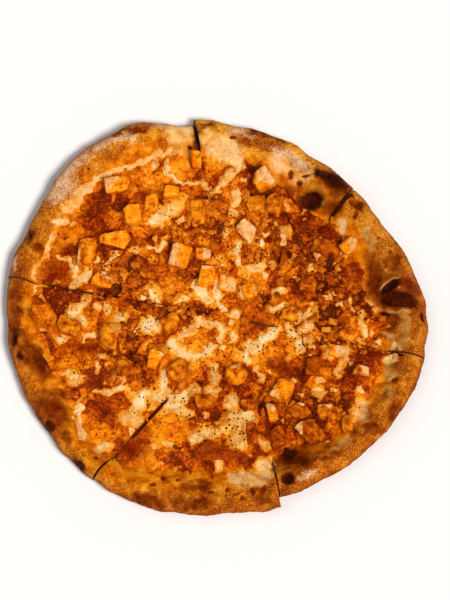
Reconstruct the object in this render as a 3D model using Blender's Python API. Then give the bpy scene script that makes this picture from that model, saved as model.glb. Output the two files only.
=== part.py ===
"""A whole buffalo chicken pizza, cut in six and still in its round.

Each slice is a wedge of dough with a puffed rim, and a layer of sauce and melted cheese lies
on it. Chopped chicken sits in that layer. Metres, +Z up; the origin is under the middle of
the pizza, on the surface that it lies on. Sizes below are in millimetres, and positions are
measured from the hub, the point where the three cuts cross.
"""

import math
import random
from itertools import product

import bmesh
import bpy
from mathutils import Euler, Quaternion, Vector, noise

MM = 0.001

# ---- Driving dimensions, in millimetres ------------------------------------------------
BASE_THICK = 4.5  # the dough under the topping
RIM_HEIGHT = 17.0  # the puffed rim, at its crown
LAYER_THICK = 3.4  # sauce and cheese, on average
LAYER_SWELL = 1.1  # how far its surface rises and falls
LAYER_EDGE = 1.0  # its thickness where it ends on the rim's slope
FIT_GAP = 0.5  # between a piece and what it lies on
SEAT_FLOOR = 0.8  # topping left under a piece of chicken
SEAT_PLAY = 0.7  # how far each corner of a seat stands off the chicken's

# ---- The rim's section, as shares of its width or height --------------------------------
CROWN_IN = 0.30  # from the outline in to the crown
BARE_SHARE = 0.72  # from the outline in to where the topping ends
OUTER_TURN = (-90, -45, -5, 35, 65, 90)  # degrees round the outer bulge, bottom to crown
INNER_FALL = (0.2, 0.4, 0.6, 0.8, 1.0)  # steps down the inner slope; the topping ends at 0.6
TOPPING_STEPS = (0.6, 0.8, 1.0)
FLAT_STEPS = (0.76, 0.52, 0.28)  # further in, as shares of the radius of the slope's foot
STEPS_ACROSS = 14  # facets across a slice

# ---- The slices -------------------------------------------------------------------------
# Each begins at a cut's bearing, in degrees anticlockwise from +X, and runs to the next one.
# "reach" is how far the rim reaches from the hub at five even steps across, and "bare" is
# the width of rim without topping, at three.
SLICES = (
    {"bearing": -12.6, "reach": (143, 142, 136.5, 132, 134), "bare": (30, 33, 28)},
    {"bearing": 50.3, "reach": (135, 139.5, 146, 153, 162), "bare": (28, 27, 27)},
    {"bearing": 103.4, "reach": (159, 177, 181.5, 177.5, 181), "bare": (27, 26, 21)},
    {"bearing": 169.6, "reach": (180, 178.5, 175, 171, 168.5), "bare": (20, 26, 21)},
    {"bearing": 228.3, "reach": (168, 165, 158, 151.5, 151), "bare": (22, 33, 28)},
    {"bearing": 281.8, "reach": (142, 140, 140.5, 142, 143), "bare": (28, 22, 27)},
)
# A cut wanders a little from its bearing, and its two sides stand apart.
CUTS = (
    {"wander": 0.5, "gap_inside": 1.0, "gap_at_rim": 1.6},
    {"wander": 0.6, "gap_inside": 0.8, "gap_at_rim": 1.0},
    {"wander": -0.9, "gap_inside": 0.9, "gap_at_rim": 3.0},
    {"wander": 0.8, "gap_inside": 1.0, "gap_at_rim": 1.4},
    {"wander": -0.5, "gap_inside": 1.6, "gap_at_rim": 1.8},
    {"wander": 0.8, "gap_inside": 1.0, "gap_at_rim": 1.2},
)

# ---- Blisters that puffed up on the rim: x, y, radius and height --------------------------
BLISTERS = (
    (119, 21, 17, 6.5),
    (58, 98, 16, 4.5),
    (74, 103, 12, 4.0),
    (-108, -118, 16, 3.5),
    (-171, -27, 15, 2.5),
    (-92, 142, 18, 3.0),
    (35, 136, 14, 2.5),
    (-32, -142, 16, 2.5),
    (38, -124, 12, 2.5),
)

# ---- Chopped chicken ----------------------------------------------------------------------
# form, x, y, length, width, height, turn in degrees, and which slice it lies on
CHICKEN = (
    ("block", -95, 105.5, 22, 13, 9, 10, 2),
    ("block", -83, 81, 18, 14, 10, 100, 2),
    ("wedge", -96, 62.5, 26, 18, 8, 178, 2),
    ("block", -117.5, 51.5, 25, 14, 9, 82, 2),
    ("slab", -68.5, 91.5, 21, 11, 7, 82, 2),
    ("slab", -53.5, 100.5, 14, 10, 7, -5, 2),
    ("slab", -34, 125.5, 18, 8, 7, 97, 2),
    ("wedge", -106, 28.5, 18, 13, 8, -20, 2),
    ("block", -46.5, 48.5, 20, 16, 11, 72, 2),
    ("slab", -29, 51, 14, 10, 8, -5, 2),
    ("block", -26, 32.5, 19, 12, 8, 80, 2),
    ("slab", -33, 83, 27, 12, 6, 94, 2),
    ("wedge", -13.5, 28, 14, 10, 8, 95, 2),
    ("block", 16.5, 108.5, 18, 16, 11, -54, 1),
    ("block", 25.5, 89.5, 20, 12, 9, 79, 1),
    ("block", 5, 68.5, 20, 13, 10, -46, 1),
    ("slab", 30.5, 65, 20, 10, 6, 92, 1),
    ("block", 10, 91, 14, 12, 7, 20, 1),
    ("wedge", 33, 47, 12, 8, 7, 95, 1),
    ("round", 6.5, 22, 16, 12, 8, 15, 1),
    ("block", 51.5, 27.5, 14, 13, 8, 80, 0),
    ("round", 83, 56.5, 18, 12, 8, 33, 0),
    ("block", 64, 55.5, 13, 10, 7, 60, 0),
    ("block", 37, 2.5, 13, 12, 8, 20, 0),
    ("block", 50, -5, 12, 7, 7, -4, 0),
    ("slab", 26, 13, 14, 8, 7, 32, 0),
    ("round", 32, 28.5, 13, 9, 7, 10, 0),
    ("slab", 91.5, -41, 14, 9, 7, -12, 5),
    ("block", 74, -26.5, 16, 10, 7, -8, 5),
    ("block", 31.5, -57, 19, 15, 10, 62, 5),
    ("block", 44, -73, 15, 14, 9, 42, 5),
    ("block", 52.5, -90.5, 24, 15, 9, -46, 5),
    ("block", 65.5, -73, 17, 13, 8, 2, 5),
    ("block", 80.5, -83, 13, 8, 6, 95, 5),
    ("slab", 23.5, -73.5, 17, 8, 8, 103, 5),
    ("slab", 27.5, -93, 21, 12, 8, 96, 5),
    ("block", 55, -37.5, 17, 12, 8, 85, 5),
    ("round", -3, -44, 20, 17, 9, 15, 4),
    ("slab", -28.5, -65, 19, 12, 7, -5, 4),
    ("wedge", -21, -105, 29, 20, 11, -14, 4),
    ("slab", 8, -90, 20, 10, 7, 96, 4),
    ("block", 6, -67.5, 14, 10, 7, 10, 4),
    ("block", -131.5, -6.5, 20, 14, 9, -20, 3),
    ("block", -101, -14.5, 21, 15, 9, 85, 3),
    ("wedge", -65.5, -31, 20, 15, 10, 250, 3),
    ("round", -48, -41.5, 20, 18, 10, 30, 3),
    ("block", -88.5, -38, 18, 12, 8, 92, 3),
    ("block", -53, -3.5, 15, 14, 8, 30, 3),
)

# ---- Smaller pieces, part of the topping that they are baked into: x, y, length, width, slice
CRUMBLE_SIZE = (5.0, 8.0)  # the smallest of all, between these lengths
CRUMBLE_PER_SLICE = 9
CRUMBLE_SEED = 20
LUMPS = (
    (-45, 120, 19, 12, 2),
    (-65, 44.5, 13, 11, 2),
    (-61, 28, 13, 11, 2),
    (-97, 41.5, 14, 8, 2),
    (-64.5, 113, 12, 8, 2),
    (-4, 107.5, 13, 11, 1),
    (31, 108.5, 7, 12, 1),
    (0.5, 40, 12, 9, 1),
    (80, 1, 14, 14, 0),
    (76, 18, 12, 14, 0),
    (54, -16.5, 10, 6, 5),
    (70, -38.5, 10, 8, 5),
    (99, -61, 10, 8, 5),
    (91, -71.5, 13, 8, 5),
    (-20, -78.5, 8, 9, 4),
    (-102, -37.5, 8, 12, 3),
    (-80, -16.5, 12, 11, 3),
    (-104, 9.5, 14, 8, 3),
)
LUMP_HEIGHT = 6.0


def between(stations, share):
    """A smooth value through evenly spaced stations, at share 0 to 1 of the way along."""
    steps = len(stations) - 1
    place = min(max(share, 0.0), 1.0) * steps
    i = min(int(place), steps - 1)
    t = place - i
    ease = t * t * (3 - 2 * t)
    return stations[i] + (stations[i + 1] - stations[i]) * ease


def cut_line(cut, radius):
    """The bearing of a cut at this distance from the hub, in radians, and half its gap."""
    facts = CUTS[cut % 6]
    turns = 360 * (cut // 6)
    wander = facts["wander"] * math.sin(radius / 32 + cut)
    bearing = math.radians(SLICES[cut % 6]["bearing"] + turns) + wander / max(radius, 20)
    opening = min(max((radius - 95) / 50, 0.0), 1.0)
    gap = facts["gap_inside"] + (facts["gap_at_rim"] - facts["gap_inside"]) * opening
    return bearing, gap / 2


def bearing_at(number, share, radius):
    """The bearing of the point at this share of the way across a slice."""
    start, start_gap = cut_line(number, radius)
    end, end_gap = cut_line(number + 1, radius)
    start += math.asin(min(start_gap / radius, 0.9))
    end -= math.asin(min(end_gap / radius, 0.9))
    return start + (end - start) * share


def ripple(x, y, size, layer=0.0):
    """Smooth noise from about -1 to 1, with bumps of this size."""
    return noise.noise(Vector((x / size, y / size, layer)))


def rim_at(number, share):
    """How far the rim reaches, its width down to the foot of its slope, and its height."""
    facts = SLICES[number]
    reach = between(facts["reach"], share)
    width = between(facts["bare"], share) / BARE_SHARE
    bearing = bearing_at(number, share, reach)
    x, y = reach * math.cos(bearing), reach * math.sin(bearing)
    reach += 1.6 * ripple(x, y, 14)
    height = RIM_HEIGHT * (1 + 0.16 * ripple(x, y, 34, 5.0))
    return reach, width, height


def blister_lift(x, y):
    """How far the blisters lift the upper skin of the rim here."""
    lift = 0.0
    for bx, by, radius, height in BLISTERS:
        near = 1 - ((x - bx) ** 2 + (y - by) ** 2) / radius**2
        if near > 0:
            lift = max(lift, height * near**0.75)
    return lift


def place(number, share, radius, z):
    """A point of a slice, in millimetres from the hub."""
    bearing = bearing_at(number, share, radius)
    return Vector((radius * math.cos(bearing), radius * math.sin(bearing), z))


def tip_of(number):
    """Where the two cuts' sides meet, beside the hub."""
    start, start_gap = cut_line(number, 20)
    end, end_gap = cut_line(number + 1, 20)
    out = max(start_gap, end_gap) / math.sin((end - start) / 2) + 0.4
    middle = (start + end) / 2
    return Vector((out * math.cos(middle), out * math.sin(middle), 0))


def slope_radius(rim, fall):
    """The distance from the hub of a step down the rim's inner slope."""
    reach, width, _ = rim
    return reach - width * (CROWN_IN + (1 - CROWN_IN) * fall)


def slope_height(rim, fall):
    _, _, height = rim
    return BASE_THICK + (height - BASE_THICK) * (1 + math.cos(math.pi * fall)) / 2


def skin(number, share, radius, z, lifted=1.0):
    """A point of the dough's upper skin, with its blisters and its unevenness."""
    point = place(number, share, radius, z)
    x, y = point.xy
    rise = max(0.0, (z - BASE_THICK) / (RIM_HEIGHT - BASE_THICK))
    swell = blister_lift(x, y) + 1.3 * ripple(x, y, 15, 9.0)
    point.z += lifted * swell * min(1.0, 1.6 * rise)
    return point


def dough_section(number, share):
    """The dough's outline in a plane through the hub: underside, bulge, slope and flat."""
    rim = rim_at(number, share)
    reach, width, height = rim
    points = []
    bulge = CROWN_IN * width
    foot = slope_radius(rim, 1.0)
    for step in reversed(FLAT_STEPS):
        points.append(place(number, share, foot * step, 0))
    for turn in OUTER_TURN:
        a = math.radians(turn)
        radius = reach - bulge * (1 - math.cos(a))
        lifted = (1 + math.sin(a)) / 2
        points.append(skin(number, share, radius, height * lifted, lifted))
    for fall in INNER_FALL:
        points.append(skin(number, share, slope_radius(rim, fall), slope_height(rim, fall)))
    for step in FLAT_STEPS:
        points.append(place(number, share, foot * step, BASE_THICK))
    return points


def dough_top(number, share, fall):
    rim = rim_at(number, share)
    return skin(number, share, slope_radius(rim, fall), slope_height(rim, fall))


def layer_thickness(x, y):
    return LAYER_THICK + LAYER_SWELL * (ripple(x, y, 23, 2.0) + 0.8 * ripple(x, y, 11, 3.0))


def topping_rows(number, share):
    """Lower and upper points of the topping, from its edge on the slope in to the middle."""
    rim = rim_at(number, share)
    foot = slope_radius(rim, 1.0)
    lower = [dough_top(number, share, fall) for fall in TOPPING_STEPS]
    steps = (1.0,) + FLAT_STEPS
    for outer, inner in zip(steps, steps[1:]):
        for step in ((outer + inner) / 2, inner):
            lower.append(place(number, share, foot * step, BASE_THICK))
    upper = []
    for i, point in enumerate(lower):
        full = min(1.0, i / 3)
        thick = LAYER_EDGE + (layer_thickness(*point.xy) - LAYER_EDGE) * full
        upper.append(point + Vector((0, 0, FIT_GAP + thick)))
    return [point + Vector((0, 0, FIT_GAP)) for point in lower], upper


# ---- Making objects ---------------------------------------------------------------------


def outline_middle():
    """The middle of the pizza's outline, measured from the hub."""
    reaches = []
    for number in range(6):
        for step in range(STEPS_ACROSS + 1):
            share = step / STEPS_ACROSS
            reaches.append(place(number, share, rim_at(number, share)[0], 0))
    xs = [p.x for p in reaches]
    ys = [p.y for p in reaches]
    return Vector(((min(xs) + max(xs)) / 2, (min(ys) + max(ys)) / 2, 0))


def finish_of(name, colour, roughness):
    material = bpy.data.materials.new(name)
    material.use_nodes = True
    shader = material.node_tree.nodes["Principled BSDF"]
    shader.inputs["Base Color"].default_value = (*colour, 1)
    shader.inputs["Roughness"].default_value = roughness
    shader.inputs["Metallic"].default_value = 0.0
    material.diffuse_color = (*colour, 1)
    return material


def object_from(bm, name, material, middle):
    """A named object from a bmesh in millimetres round the hub."""
    bmesh.ops.recalc_face_normals(bm, faces=bm.faces)
    bmesh.ops.translate(bm, verts=bm.verts, vec=-middle)
    bmesh.ops.scale(bm, verts=bm.verts, vec=(MM, MM, MM))
    mesh = bpy.data.meshes.new(name)
    bm.to_mesh(mesh)
    bm.free()
    obj = bpy.data.objects.new(name, mesh)
    bpy.context.scene.collection.objects.link(obj)
    obj.data.materials.append(material)
    return obj


def make_dough(number, material, middle):
    """One slice's dough: its section carried across the slice, with both cut sides closed."""
    bm = bmesh.new()
    tip = tip_of(number)
    low_tip = bm.verts.new(tip)
    high_tip = bm.verts.new(tip + Vector((0, 0, BASE_THICK)))
    sections = []
    for step in range(STEPS_ACROSS + 1):
        points = dough_section(number, step / STEPS_ACROSS)
        sections.append([bm.verts.new(p) for p in points])
    for near, far in zip(sections, sections[1:]):
        for i in range(len(near) - 1):
            bm.faces.new((near[i], near[i + 1], far[i + 1], far[i]))
        bm.faces.new((low_tip, near[0], far[0]))
        bm.faces.new((high_tip, far[-1], near[-1]))
    for side in (sections[0], sections[-1]):
        bm.faces.new([low_tip, *side, high_tip])
    obj = object_from(bm, f"dough_{number + 1}", material, middle)
    obj.data.shade_smooth()
    obj.data.set_sharp_from_angle(angle=math.radians(40))
    return obj


def make_layer(number, material, middle):
    """One slice's sauce and cheese: an uneven upper face over the dough's own shape."""
    bm = bmesh.new()
    tip = tip_of(number) + Vector((0, 0, BASE_THICK + FIT_GAP))
    low_tip = bm.verts.new(tip)
    high_tip = bm.verts.new(tip + Vector((0, 0, layer_thickness(*tip.xy))))
    lows, highs = [], []
    for step in range(STEPS_ACROSS + 1):
        lower, upper = topping_rows(number, step / STEPS_ACROSS)
        lows.append([bm.verts.new(p) for p in lower])
        highs.append([bm.verts.new(p) for p in upper])
    slope = len(TOPPING_STEPS) - 1
    for step in range(STEPS_ACROSS):
        low, low_next = lows[step], lows[step + 1]
        high, high_next = highs[step], highs[step + 1]
        for i in range(len(high) - 1):
            bm.faces.new((high[i], high[i + 1], high_next[i + 1], high_next[i]))
        bm.faces.new((high[-1], high_tip, high_next[-1]))
        for i in range(slope):
            bm.faces.new((low[i], low_next[i], low_next[i + 1], low[i + 1]))
        bm.faces.new((low[0], high[0], high_next[0], low_next[0]))
    # The flat underside is one face, whose corners are those of the sides round it.
    foot = [row[slope] for row in lows]
    bm.faces.new(lows[0][slope + 1 :][::-1] + foot + lows[-1][slope + 1 :] + [low_tip])
    for low, high in ((lows[0], highs[0]), (lows[-1], highs[-1])):
        for i in range(len(low) - 1):
            bm.faces.new((low[i], low[i + 1], high[i + 1], high[i]))
        bm.faces.new((low[-1], low_tip, high_tip, high[-1]))
    return object_from(bm, f"topping_{number + 1}", material, middle)


def corner_points(form, size, draw):
    """Corners of a chopped piece, round its own middle: a box knocked out of true."""
    points = []
    for signs in product((-1, 1), repeat=3):
        corner = Vector([s * side / 2 * draw.uniform(0.8, 1.0) for s, side in zip(signs, size)])
        if form == "wedge" and signs[0] > 0:
            corner.y *= 0.4
        if form == "round":
            corner *= 0.8
        if form == "slab" and signs[2] > 0:
            corner.xy *= 0.86
        points.append(corner)
    if form == "round":
        for axis, sign in product(range(3), (-1, 1)):
            cap = Vector((0, 0, 0))
            cap[axis] = sign * size[axis] / 2
            points.append(cap)
    elif form != "wedge":
        points.append(Vector((draw.uniform(-0.2, 0.2) * size[0], 0, size[2] / 2)))
        points.append(Vector((0, size[1] / 2, draw.uniform(-0.3, 0.2) * size[2])))
        points.append(Vector((0, -size[1] / 2, draw.uniform(-0.3, 0.2) * size[2])))
    return points


def hull_of(points, play=0.0):
    """A closed convex piece through these points, each corner moved out by play."""
    bm = bmesh.new()
    for point in points:
        bm.verts.new(point)
    made = bmesh.ops.convex_hull(bm, input=bm.verts)
    inside = {v for v in made["geom_interior"] if isinstance(v, bmesh.types.BMVert)}
    inside |= {v for v in bm.verts if not v.link_faces}
    bmesh.ops.delete(bm, geom=list(inside), context="VERTS")
    bmesh.ops.recalc_face_normals(bm, faces=bm.faces)
    bm.normal_update()
    moved = [(v, v.co + v.normal * play) for v in bm.verts]
    for v, co in moved:
        v.co = co
    return bm


def floor_at(x, y):
    """The height of the dough's upper face here, for a piece to clear."""
    distance = math.hypot(x, y)
    bearing = math.degrees(math.atan2(y, x))
    for number, facts in enumerate(SLICES):
        span = (SLICES[(number + 1) % 6]["bearing"] - facts["bearing"]) % 360
        across = (bearing - facts["bearing"]) % 360
        if across > span:
            continue
        rim = rim_at(number, across / span)
        fall = ((rim[0] - distance) / rim[1] - CROWN_IN) / (1 - CROWN_IN)
        if fall < 1:
            return slope_height(rim, max(fall, 0.0)) + 0.6
    return BASE_THICK


def posed(points, x, y, turn, tilt):
    """The points turned, leant with the dough that they lie on, and set down on it."""
    half = max(p.xy.length for p in points) * 0.7
    out = Vector((x, y)).normalized()
    rise = floor_at(x + out.x * half, y + out.y * half) - floor_at(x - out.x * half, y - out.y * half)
    lean = Quaternion((out.y, -out.x, 0), math.atan2(rise, 2 * half)).to_matrix()
    turned = Euler((math.radians(tilt[0]), math.radians(tilt[1]), 0)).to_matrix()
    turned = lean @ Euler((0, 0, math.radians(turn))).to_matrix() @ turned
    points = [turned @ p + Vector((x, y, 0)) for p in points]
    lift = max(floor_at(p.x, p.y) - p.z for p in points) + FIT_GAP + SEAT_FLOOR
    return [p + Vector((0, 0, lift)) for p in points]


def make_chicken(material, middle):
    """Each chopped piece as an object, and the cutters of the seats that they lie in."""
    cutters = {number: [] for number in range(6)}
    for i, (form, x, y, length, width, height, turn, number) in enumerate(CHICKEN):
        name = f"chicken_{i + 1:02d}"
        draw = random.Random(name)
        points = corner_points(form, (length, width, height), draw)
        tilt = (draw.uniform(-7, 7), draw.uniform(-7, 7))
        points = posed(points, x, y, turn, tilt)
        object_from(hull_of(points), name, material, middle)
        reach = max((p - Vector((x, y, p.z))).length for p in points) + SEAT_PLAY
        for other in range(6):
            if other == number or near_slice(other, x, y, reach):
                cutter = hull_of(points, SEAT_PLAY)
                cutters[other].append(object_from(cutter, f"seat_{i}_{other}", material, middle))
    return cutters


def near_slice(number, x, y, reach):
    """Whether a disc of this radius reaches over the slice from a neighbour."""
    for cut in (number, number + 1):
        bearing, _ = cut_line(cut, max(math.hypot(x, y), 20))
        off = x * math.sin(bearing) - y * math.cos(bearing)
        along = x * math.cos(bearing) + y * math.sin(bearing)
        if abs(off) < reach and along > -reach:
            return True
    return False


def clear_of_chicken(x, y, half):
    """Whether a small piece here stays off every larger one."""
    for _, cx, cy, length, width, _, turn, _ in CHICKEN:
        a = math.radians(turn)
        dx = (x - cx) * math.cos(a) + (y - cy) * math.sin(a)
        dy = (y - cy) * math.cos(a) - (x - cx) * math.sin(a)
        if abs(dx) < length / 2 + half + 1.5 and abs(dy) < width / 2 + half + 1.5:
            return False
    return True


def clear_of_lumps(x, y, half, placed):
    return all(math.hypot(x - px, y - py) > half + ph + 1.0 for px, py, ph in placed)


def crumble_of(number):
    """Places for the smallest pieces of a slice, drawn evenly over its topping."""
    draw = random.Random(CRUMBLE_SEED + number)
    placed = [(x, y, max(a, b) / 2) for x, y, a, b, at in LUMPS if at == number]
    lumps = len(placed)
    while len(placed) < lumps + CRUMBLE_PER_SLICE:
        share = draw.uniform(0.08, 0.92)
        rim = rim_at(number, share)
        radius = slope_radius(rim, 1.0) * math.sqrt(draw.uniform(0.08, 0.98))
        x, y, _ = place(number, share, radius, 0)
        half = draw.uniform(*CRUMBLE_SIZE) / 2
        off_cut = radius * math.sin(math.radians(55) * min(share, 1 - share))
        clear = clear_of_chicken(x, y, half) and clear_of_lumps(x, y, half, placed)
        if clear and off_cut > half + 1.2:
            placed.append((x, y, half))
    return placed[lumps:]


def make_lumps(number, material, middle):
    """The smaller pieces of a slice, before they are joined to its topping."""
    draw = random.Random(CRUMBLE_SEED * 10 + number)
    made = []
    sizes = [(x, y, a, b, LUMP_HEIGHT) for x, y, a, b, at in LUMPS if at == number]
    for x, y, half in crumble_of(number):
        sizes.append((x, y, 2 * half, 1.5 * half, 4.6))
    for i, (x, y, length, width, height) in enumerate(sizes):
        form = "round" if i < len(sizes) - CRUMBLE_PER_SLICE else "wedge"
        points = corner_points(form, (length, width, height), draw)
        turn = 0 if form == "round" else draw.uniform(0, 360)
        points = posed(points, x, y, turn, (0, 0))
        made.append(object_from(hull_of(points), f"lump_{number}_{i}", material, middle))
    return made


def boolean(obj, others, operation):
    """Joins or cuts with a collection of objects, applies it and removes them."""
    helpers = bpy.data.collections.new("helpers")
    bpy.context.scene.collection.children.link(helpers)
    for other in others:
        bpy.context.scene.collection.objects.unlink(other)
        helpers.objects.link(other)
    modifier = obj.modifiers.new(operation.lower(), "BOOLEAN")
    modifier.operation = operation
    modifier.operand_type = "COLLECTION"
    modifier.collection = helpers
    modifier.solver = "EXACT"
    bpy.context.view_layer.update()
    graph = bpy.context.evaluated_depsgraph_get()
    mesh = bpy.data.meshes.new_from_object(obj.evaluated_get(graph))
    obj.modifiers.clear()
    obj.data = mesh
    for other in others:
        bpy.data.objects.remove(other)
    bpy.data.collections.remove(helpers)


def keep_largest_body(obj):
    """Drops the loose scraps that a cut can leave beside the main body."""
    bm = bmesh.new()
    bm.from_mesh(obj.data)
    bmesh.ops.remove_doubles(bm, verts=bm.verts, dist=2e-6)
    unseen = set(bm.verts)
    bodies = []
    while unseen:
        body, edge = set(), [unseen.pop()]
        while edge:
            vert = edge.pop()
            body.add(vert)
            for link in vert.link_edges:
                other = link.other_vert(vert)
                if other in unseen:
                    unseen.discard(other)
                    edge.append(other)
        bodies.append(body)
    bodies.sort(key=len)
    for scrap in bodies[:-1]:
        bmesh.ops.delete(bm, geom=list(scrap), context="VERTS")
    bm.to_mesh(obj.data)
    bm.free()


def main():
    for obj in list(bpy.data.objects):
        bpy.data.objects.remove(obj)
    middle = outline_middle()
    dough = finish_of("baked dough", (0.62, 0.33, 0.12), 0.75)
    sauce = finish_of("buffalo sauce and mozzarella", (0.72, 0.24, 0.03), 0.35)
    meat = finish_of("chicken in buffalo sauce", (0.83, 0.36, 0.06), 0.45)
    cutters = make_chicken(meat, middle)
    for number in range(6):
        make_dough(number, dough, middle)
        layer = make_layer(number, sauce, middle)
        boolean(layer, make_lumps(number, sauce, middle), "UNION")
        boolean(layer, cutters[number], "DIFFERENCE")
        keep_largest_body(layer)


main()
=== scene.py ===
# %% [markdown]
# # A buffalo chicken pizza, cut in six
# The imported solids give the true sizes: six slices of dough, six beds of sauce and cheese, and
# the larger pieces of chopped chicken. They stay the measure of everything here. This lesson
# lays a baked surface over each of them: a floury, blistered rim, melted cheese with sauce
# baked into it, chicken cut by hand, crumbs and pepper. We load the solids first.

import math
import random

import bmesh
import bpy
import numpy as np
from mathutils import Euler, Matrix, Vector, geometry, noise


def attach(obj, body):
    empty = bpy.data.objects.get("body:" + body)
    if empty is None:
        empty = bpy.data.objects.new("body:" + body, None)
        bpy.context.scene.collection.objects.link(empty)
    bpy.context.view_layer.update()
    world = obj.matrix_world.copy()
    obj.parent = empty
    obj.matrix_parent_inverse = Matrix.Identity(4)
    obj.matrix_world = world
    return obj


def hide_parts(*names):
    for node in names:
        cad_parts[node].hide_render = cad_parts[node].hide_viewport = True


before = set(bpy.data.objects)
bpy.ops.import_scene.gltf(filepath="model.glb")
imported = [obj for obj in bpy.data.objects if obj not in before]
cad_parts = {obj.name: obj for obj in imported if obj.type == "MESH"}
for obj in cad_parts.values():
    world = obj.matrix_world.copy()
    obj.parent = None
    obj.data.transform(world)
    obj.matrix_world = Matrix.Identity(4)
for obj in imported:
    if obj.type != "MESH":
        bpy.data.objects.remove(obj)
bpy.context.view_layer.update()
print("solids loaded:", len(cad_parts))

# %% [markdown]
# ## The sizes that the dough was made to
# The outline of a hand-stretched pizza has no simple formula, so each slice has a few measured
# values: where its cut lies, how far its rim reaches and how wide the bare rim is. They are the
# same values as the solids have, in millimetres from the hub, where the three cuts cross. With
# the same values and the same rules, the fine surfaces land on the coarse ones.

# %% Sizes in millimetres and shares, as the solids have them
MM = 0.001
BASE_THICK = 4.5
RIM_HEIGHT = 17.0
LAYER_THICK = 3.4
LAYER_SWELL = 1.1
FIT_GAP = 0.5
CROWN_IN = 0.30
BARE_SHARE = 0.72
LAYER_ENDS = 0.6
SLICES = (
    {"bearing": -12.6, "reach": (143, 142, 136.5, 132, 134), "bare": (30, 33, 28)},
    {"bearing": 50.3, "reach": (135, 139.5, 146, 153, 162), "bare": (28, 27, 27)},
    {"bearing": 103.4, "reach": (159, 177, 181.5, 177.5, 181), "bare": (27, 26, 21)},
    {"bearing": 169.6, "reach": (180, 178.5, 175, 171, 168.5), "bare": (20, 26, 21)},
    {"bearing": 228.3, "reach": (168, 165, 158, 151.5, 151), "bare": (22, 33, 28)},
    {"bearing": 281.8, "reach": (142, 140, 140.5, 142, 143), "bare": (28, 22, 27)},
)
CUTS = (
    {"wander": 0.5, "gap_inside": 1.0, "gap_at_rim": 1.6},
    {"wander": 0.6, "gap_inside": 0.8, "gap_at_rim": 1.0},
    {"wander": -0.9, "gap_inside": 0.9, "gap_at_rim": 3.0},
    {"wander": 0.8, "gap_inside": 1.0, "gap_at_rim": 1.4},
    {"wander": -0.5, "gap_inside": 1.6, "gap_at_rim": 1.8},
    {"wander": 0.8, "gap_inside": 1.0, "gap_at_rim": 1.2},
)
BLISTERS = (
    (119, 21, 17, 6.5),
    (58, 98, 16, 4.5),
    (74, 103, 12, 4.0),
    (-108, -118, 16, 3.5),
    (-171, -27, 15, 2.5),
    (-92, 142, 18, 3.0),
    (35, 136, 14, 2.5),
    (-32, -142, 16, 2.5),
    (38, -124, 12, 2.5),
)
SLICE_COUNT = len(SLICES)
print("slices:", SLICE_COUNT)

# %% [markdown]
# ## Where a cut and a rim lie
# A roller cutter wanders a little, and the rim is never an arc. These functions give the line
# of a cut, the reach, width and height of the rim, and the lift of a big blister. They take
# whole arrays, because a fine surface has tens of thousands of points.


# %% Functions for the cuts and the rim
def between(stations, share):
    """A smooth value through evenly spaced stations, at share 0 to 1 of the way along."""
    values = np.asarray(stations, float)
    place = np.clip(share, 0, 1) * (len(values) - 1)
    i = np.minimum(place.astype(int), len(values) - 2)
    t = place - i
    return values[i] + (values[i + 1] - values[i]) * t * t * (3 - 2 * t)


def cut_line(cut, radius):
    """The bearing of a cut at these distances from the hub, in radians, and half its gap."""
    turns, number = divmod(cut, SLICE_COUNT)
    facts = CUTS[number]
    wander = facts["wander"] * np.sin(radius / 32 + cut)
    bearing = math.radians(SLICES[number]["bearing"] + 360 * turns)
    opening = np.clip((radius - 95) / 50, 0, 1)
    gap = facts["gap_inside"] + (facts["gap_at_rim"] - facts["gap_inside"]) * opening
    return bearing + wander / np.maximum(radius, 20), gap / 2


def bearing_at(number, share, radius, closed=0.0):
    """The bearing at this share of the way across a slice. closed narrows the cuts' gaps."""
    start, start_gap = cut_line(number, radius)
    end, end_gap = cut_line(number + 1, radius)
    room = np.maximum(radius, 1.5)
    start = start + np.arcsin(np.minimum(start_gap * (1 - closed) / room, 0.5))
    end = end - np.arcsin(np.minimum(end_gap * (1 - closed) / room, 0.5))
    return start + (end - start) * share


def at_bearing(radius, bearing):
    """The x and y of points at these distances and bearings from the hub."""
    return radius * np.cos(bearing), radius * np.sin(bearing)


def ripple(x, y, size, layer=0.0):
    """The solids' own unevenness, from about -1 to 1, with bumps of this size."""
    pairs = zip(np.ravel(x) / size, np.ravel(y) / size)
    return np.array([noise.noise((a, b, layer)) for a, b in pairs]).reshape(np.shape(x))


def rim_at(number, share):
    """How far the rim reaches, its width down to the foot of its slope, and its height."""
    facts = SLICES[number]
    share = np.asarray(share, float)
    reach = between(facts["reach"], share)
    width = between(facts["bare"], share) / BARE_SHARE
    x, y = at_bearing(reach, bearing_at(number, share, reach))
    height = RIM_HEIGHT * (1 + 0.16 * ripple(x, y, 34, 5.0))
    return reach + 1.6 * ripple(x, y, 14), width, height


def blister_lift(x, y):
    """How far the large blisters lift the upper skin of the rim."""
    lift = np.zeros(np.shape(x))
    for bx, by, radius, height in BLISTERS:
        near = np.clip(1 - ((x - bx) ** 2 + (y - by) ** 2) / radius**2, 0, None)
        lift = np.maximum(lift, height * near**0.75)
    return lift


shares = np.linspace(0, 1, 15)
outline = []
for number in range(SLICE_COUNT):
    reach = rim_at(number, shares)[0]
    outline.append(np.stack(at_bearing(reach, bearing_at(number, shares, reach))))
outline = np.concatenate(outline, axis=1)
MIDDLE = (outline.min(axis=1) + outline.max(axis=1)) / 2
print("hub, from the middle of the outline, in mm:", (-MIDDLE).round(1))

# %% [markdown]
# ## Uneven surfaces from a little arithmetic
# Everything baked is uneven, at many scales at once. Gradient noise gives that: each corner of
# a grid gets a slope in a random direction, and the slopes are blended. We write it for arrays,
# with whole-number hashing, so that it's fast and gives the same pizza on every machine.


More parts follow.
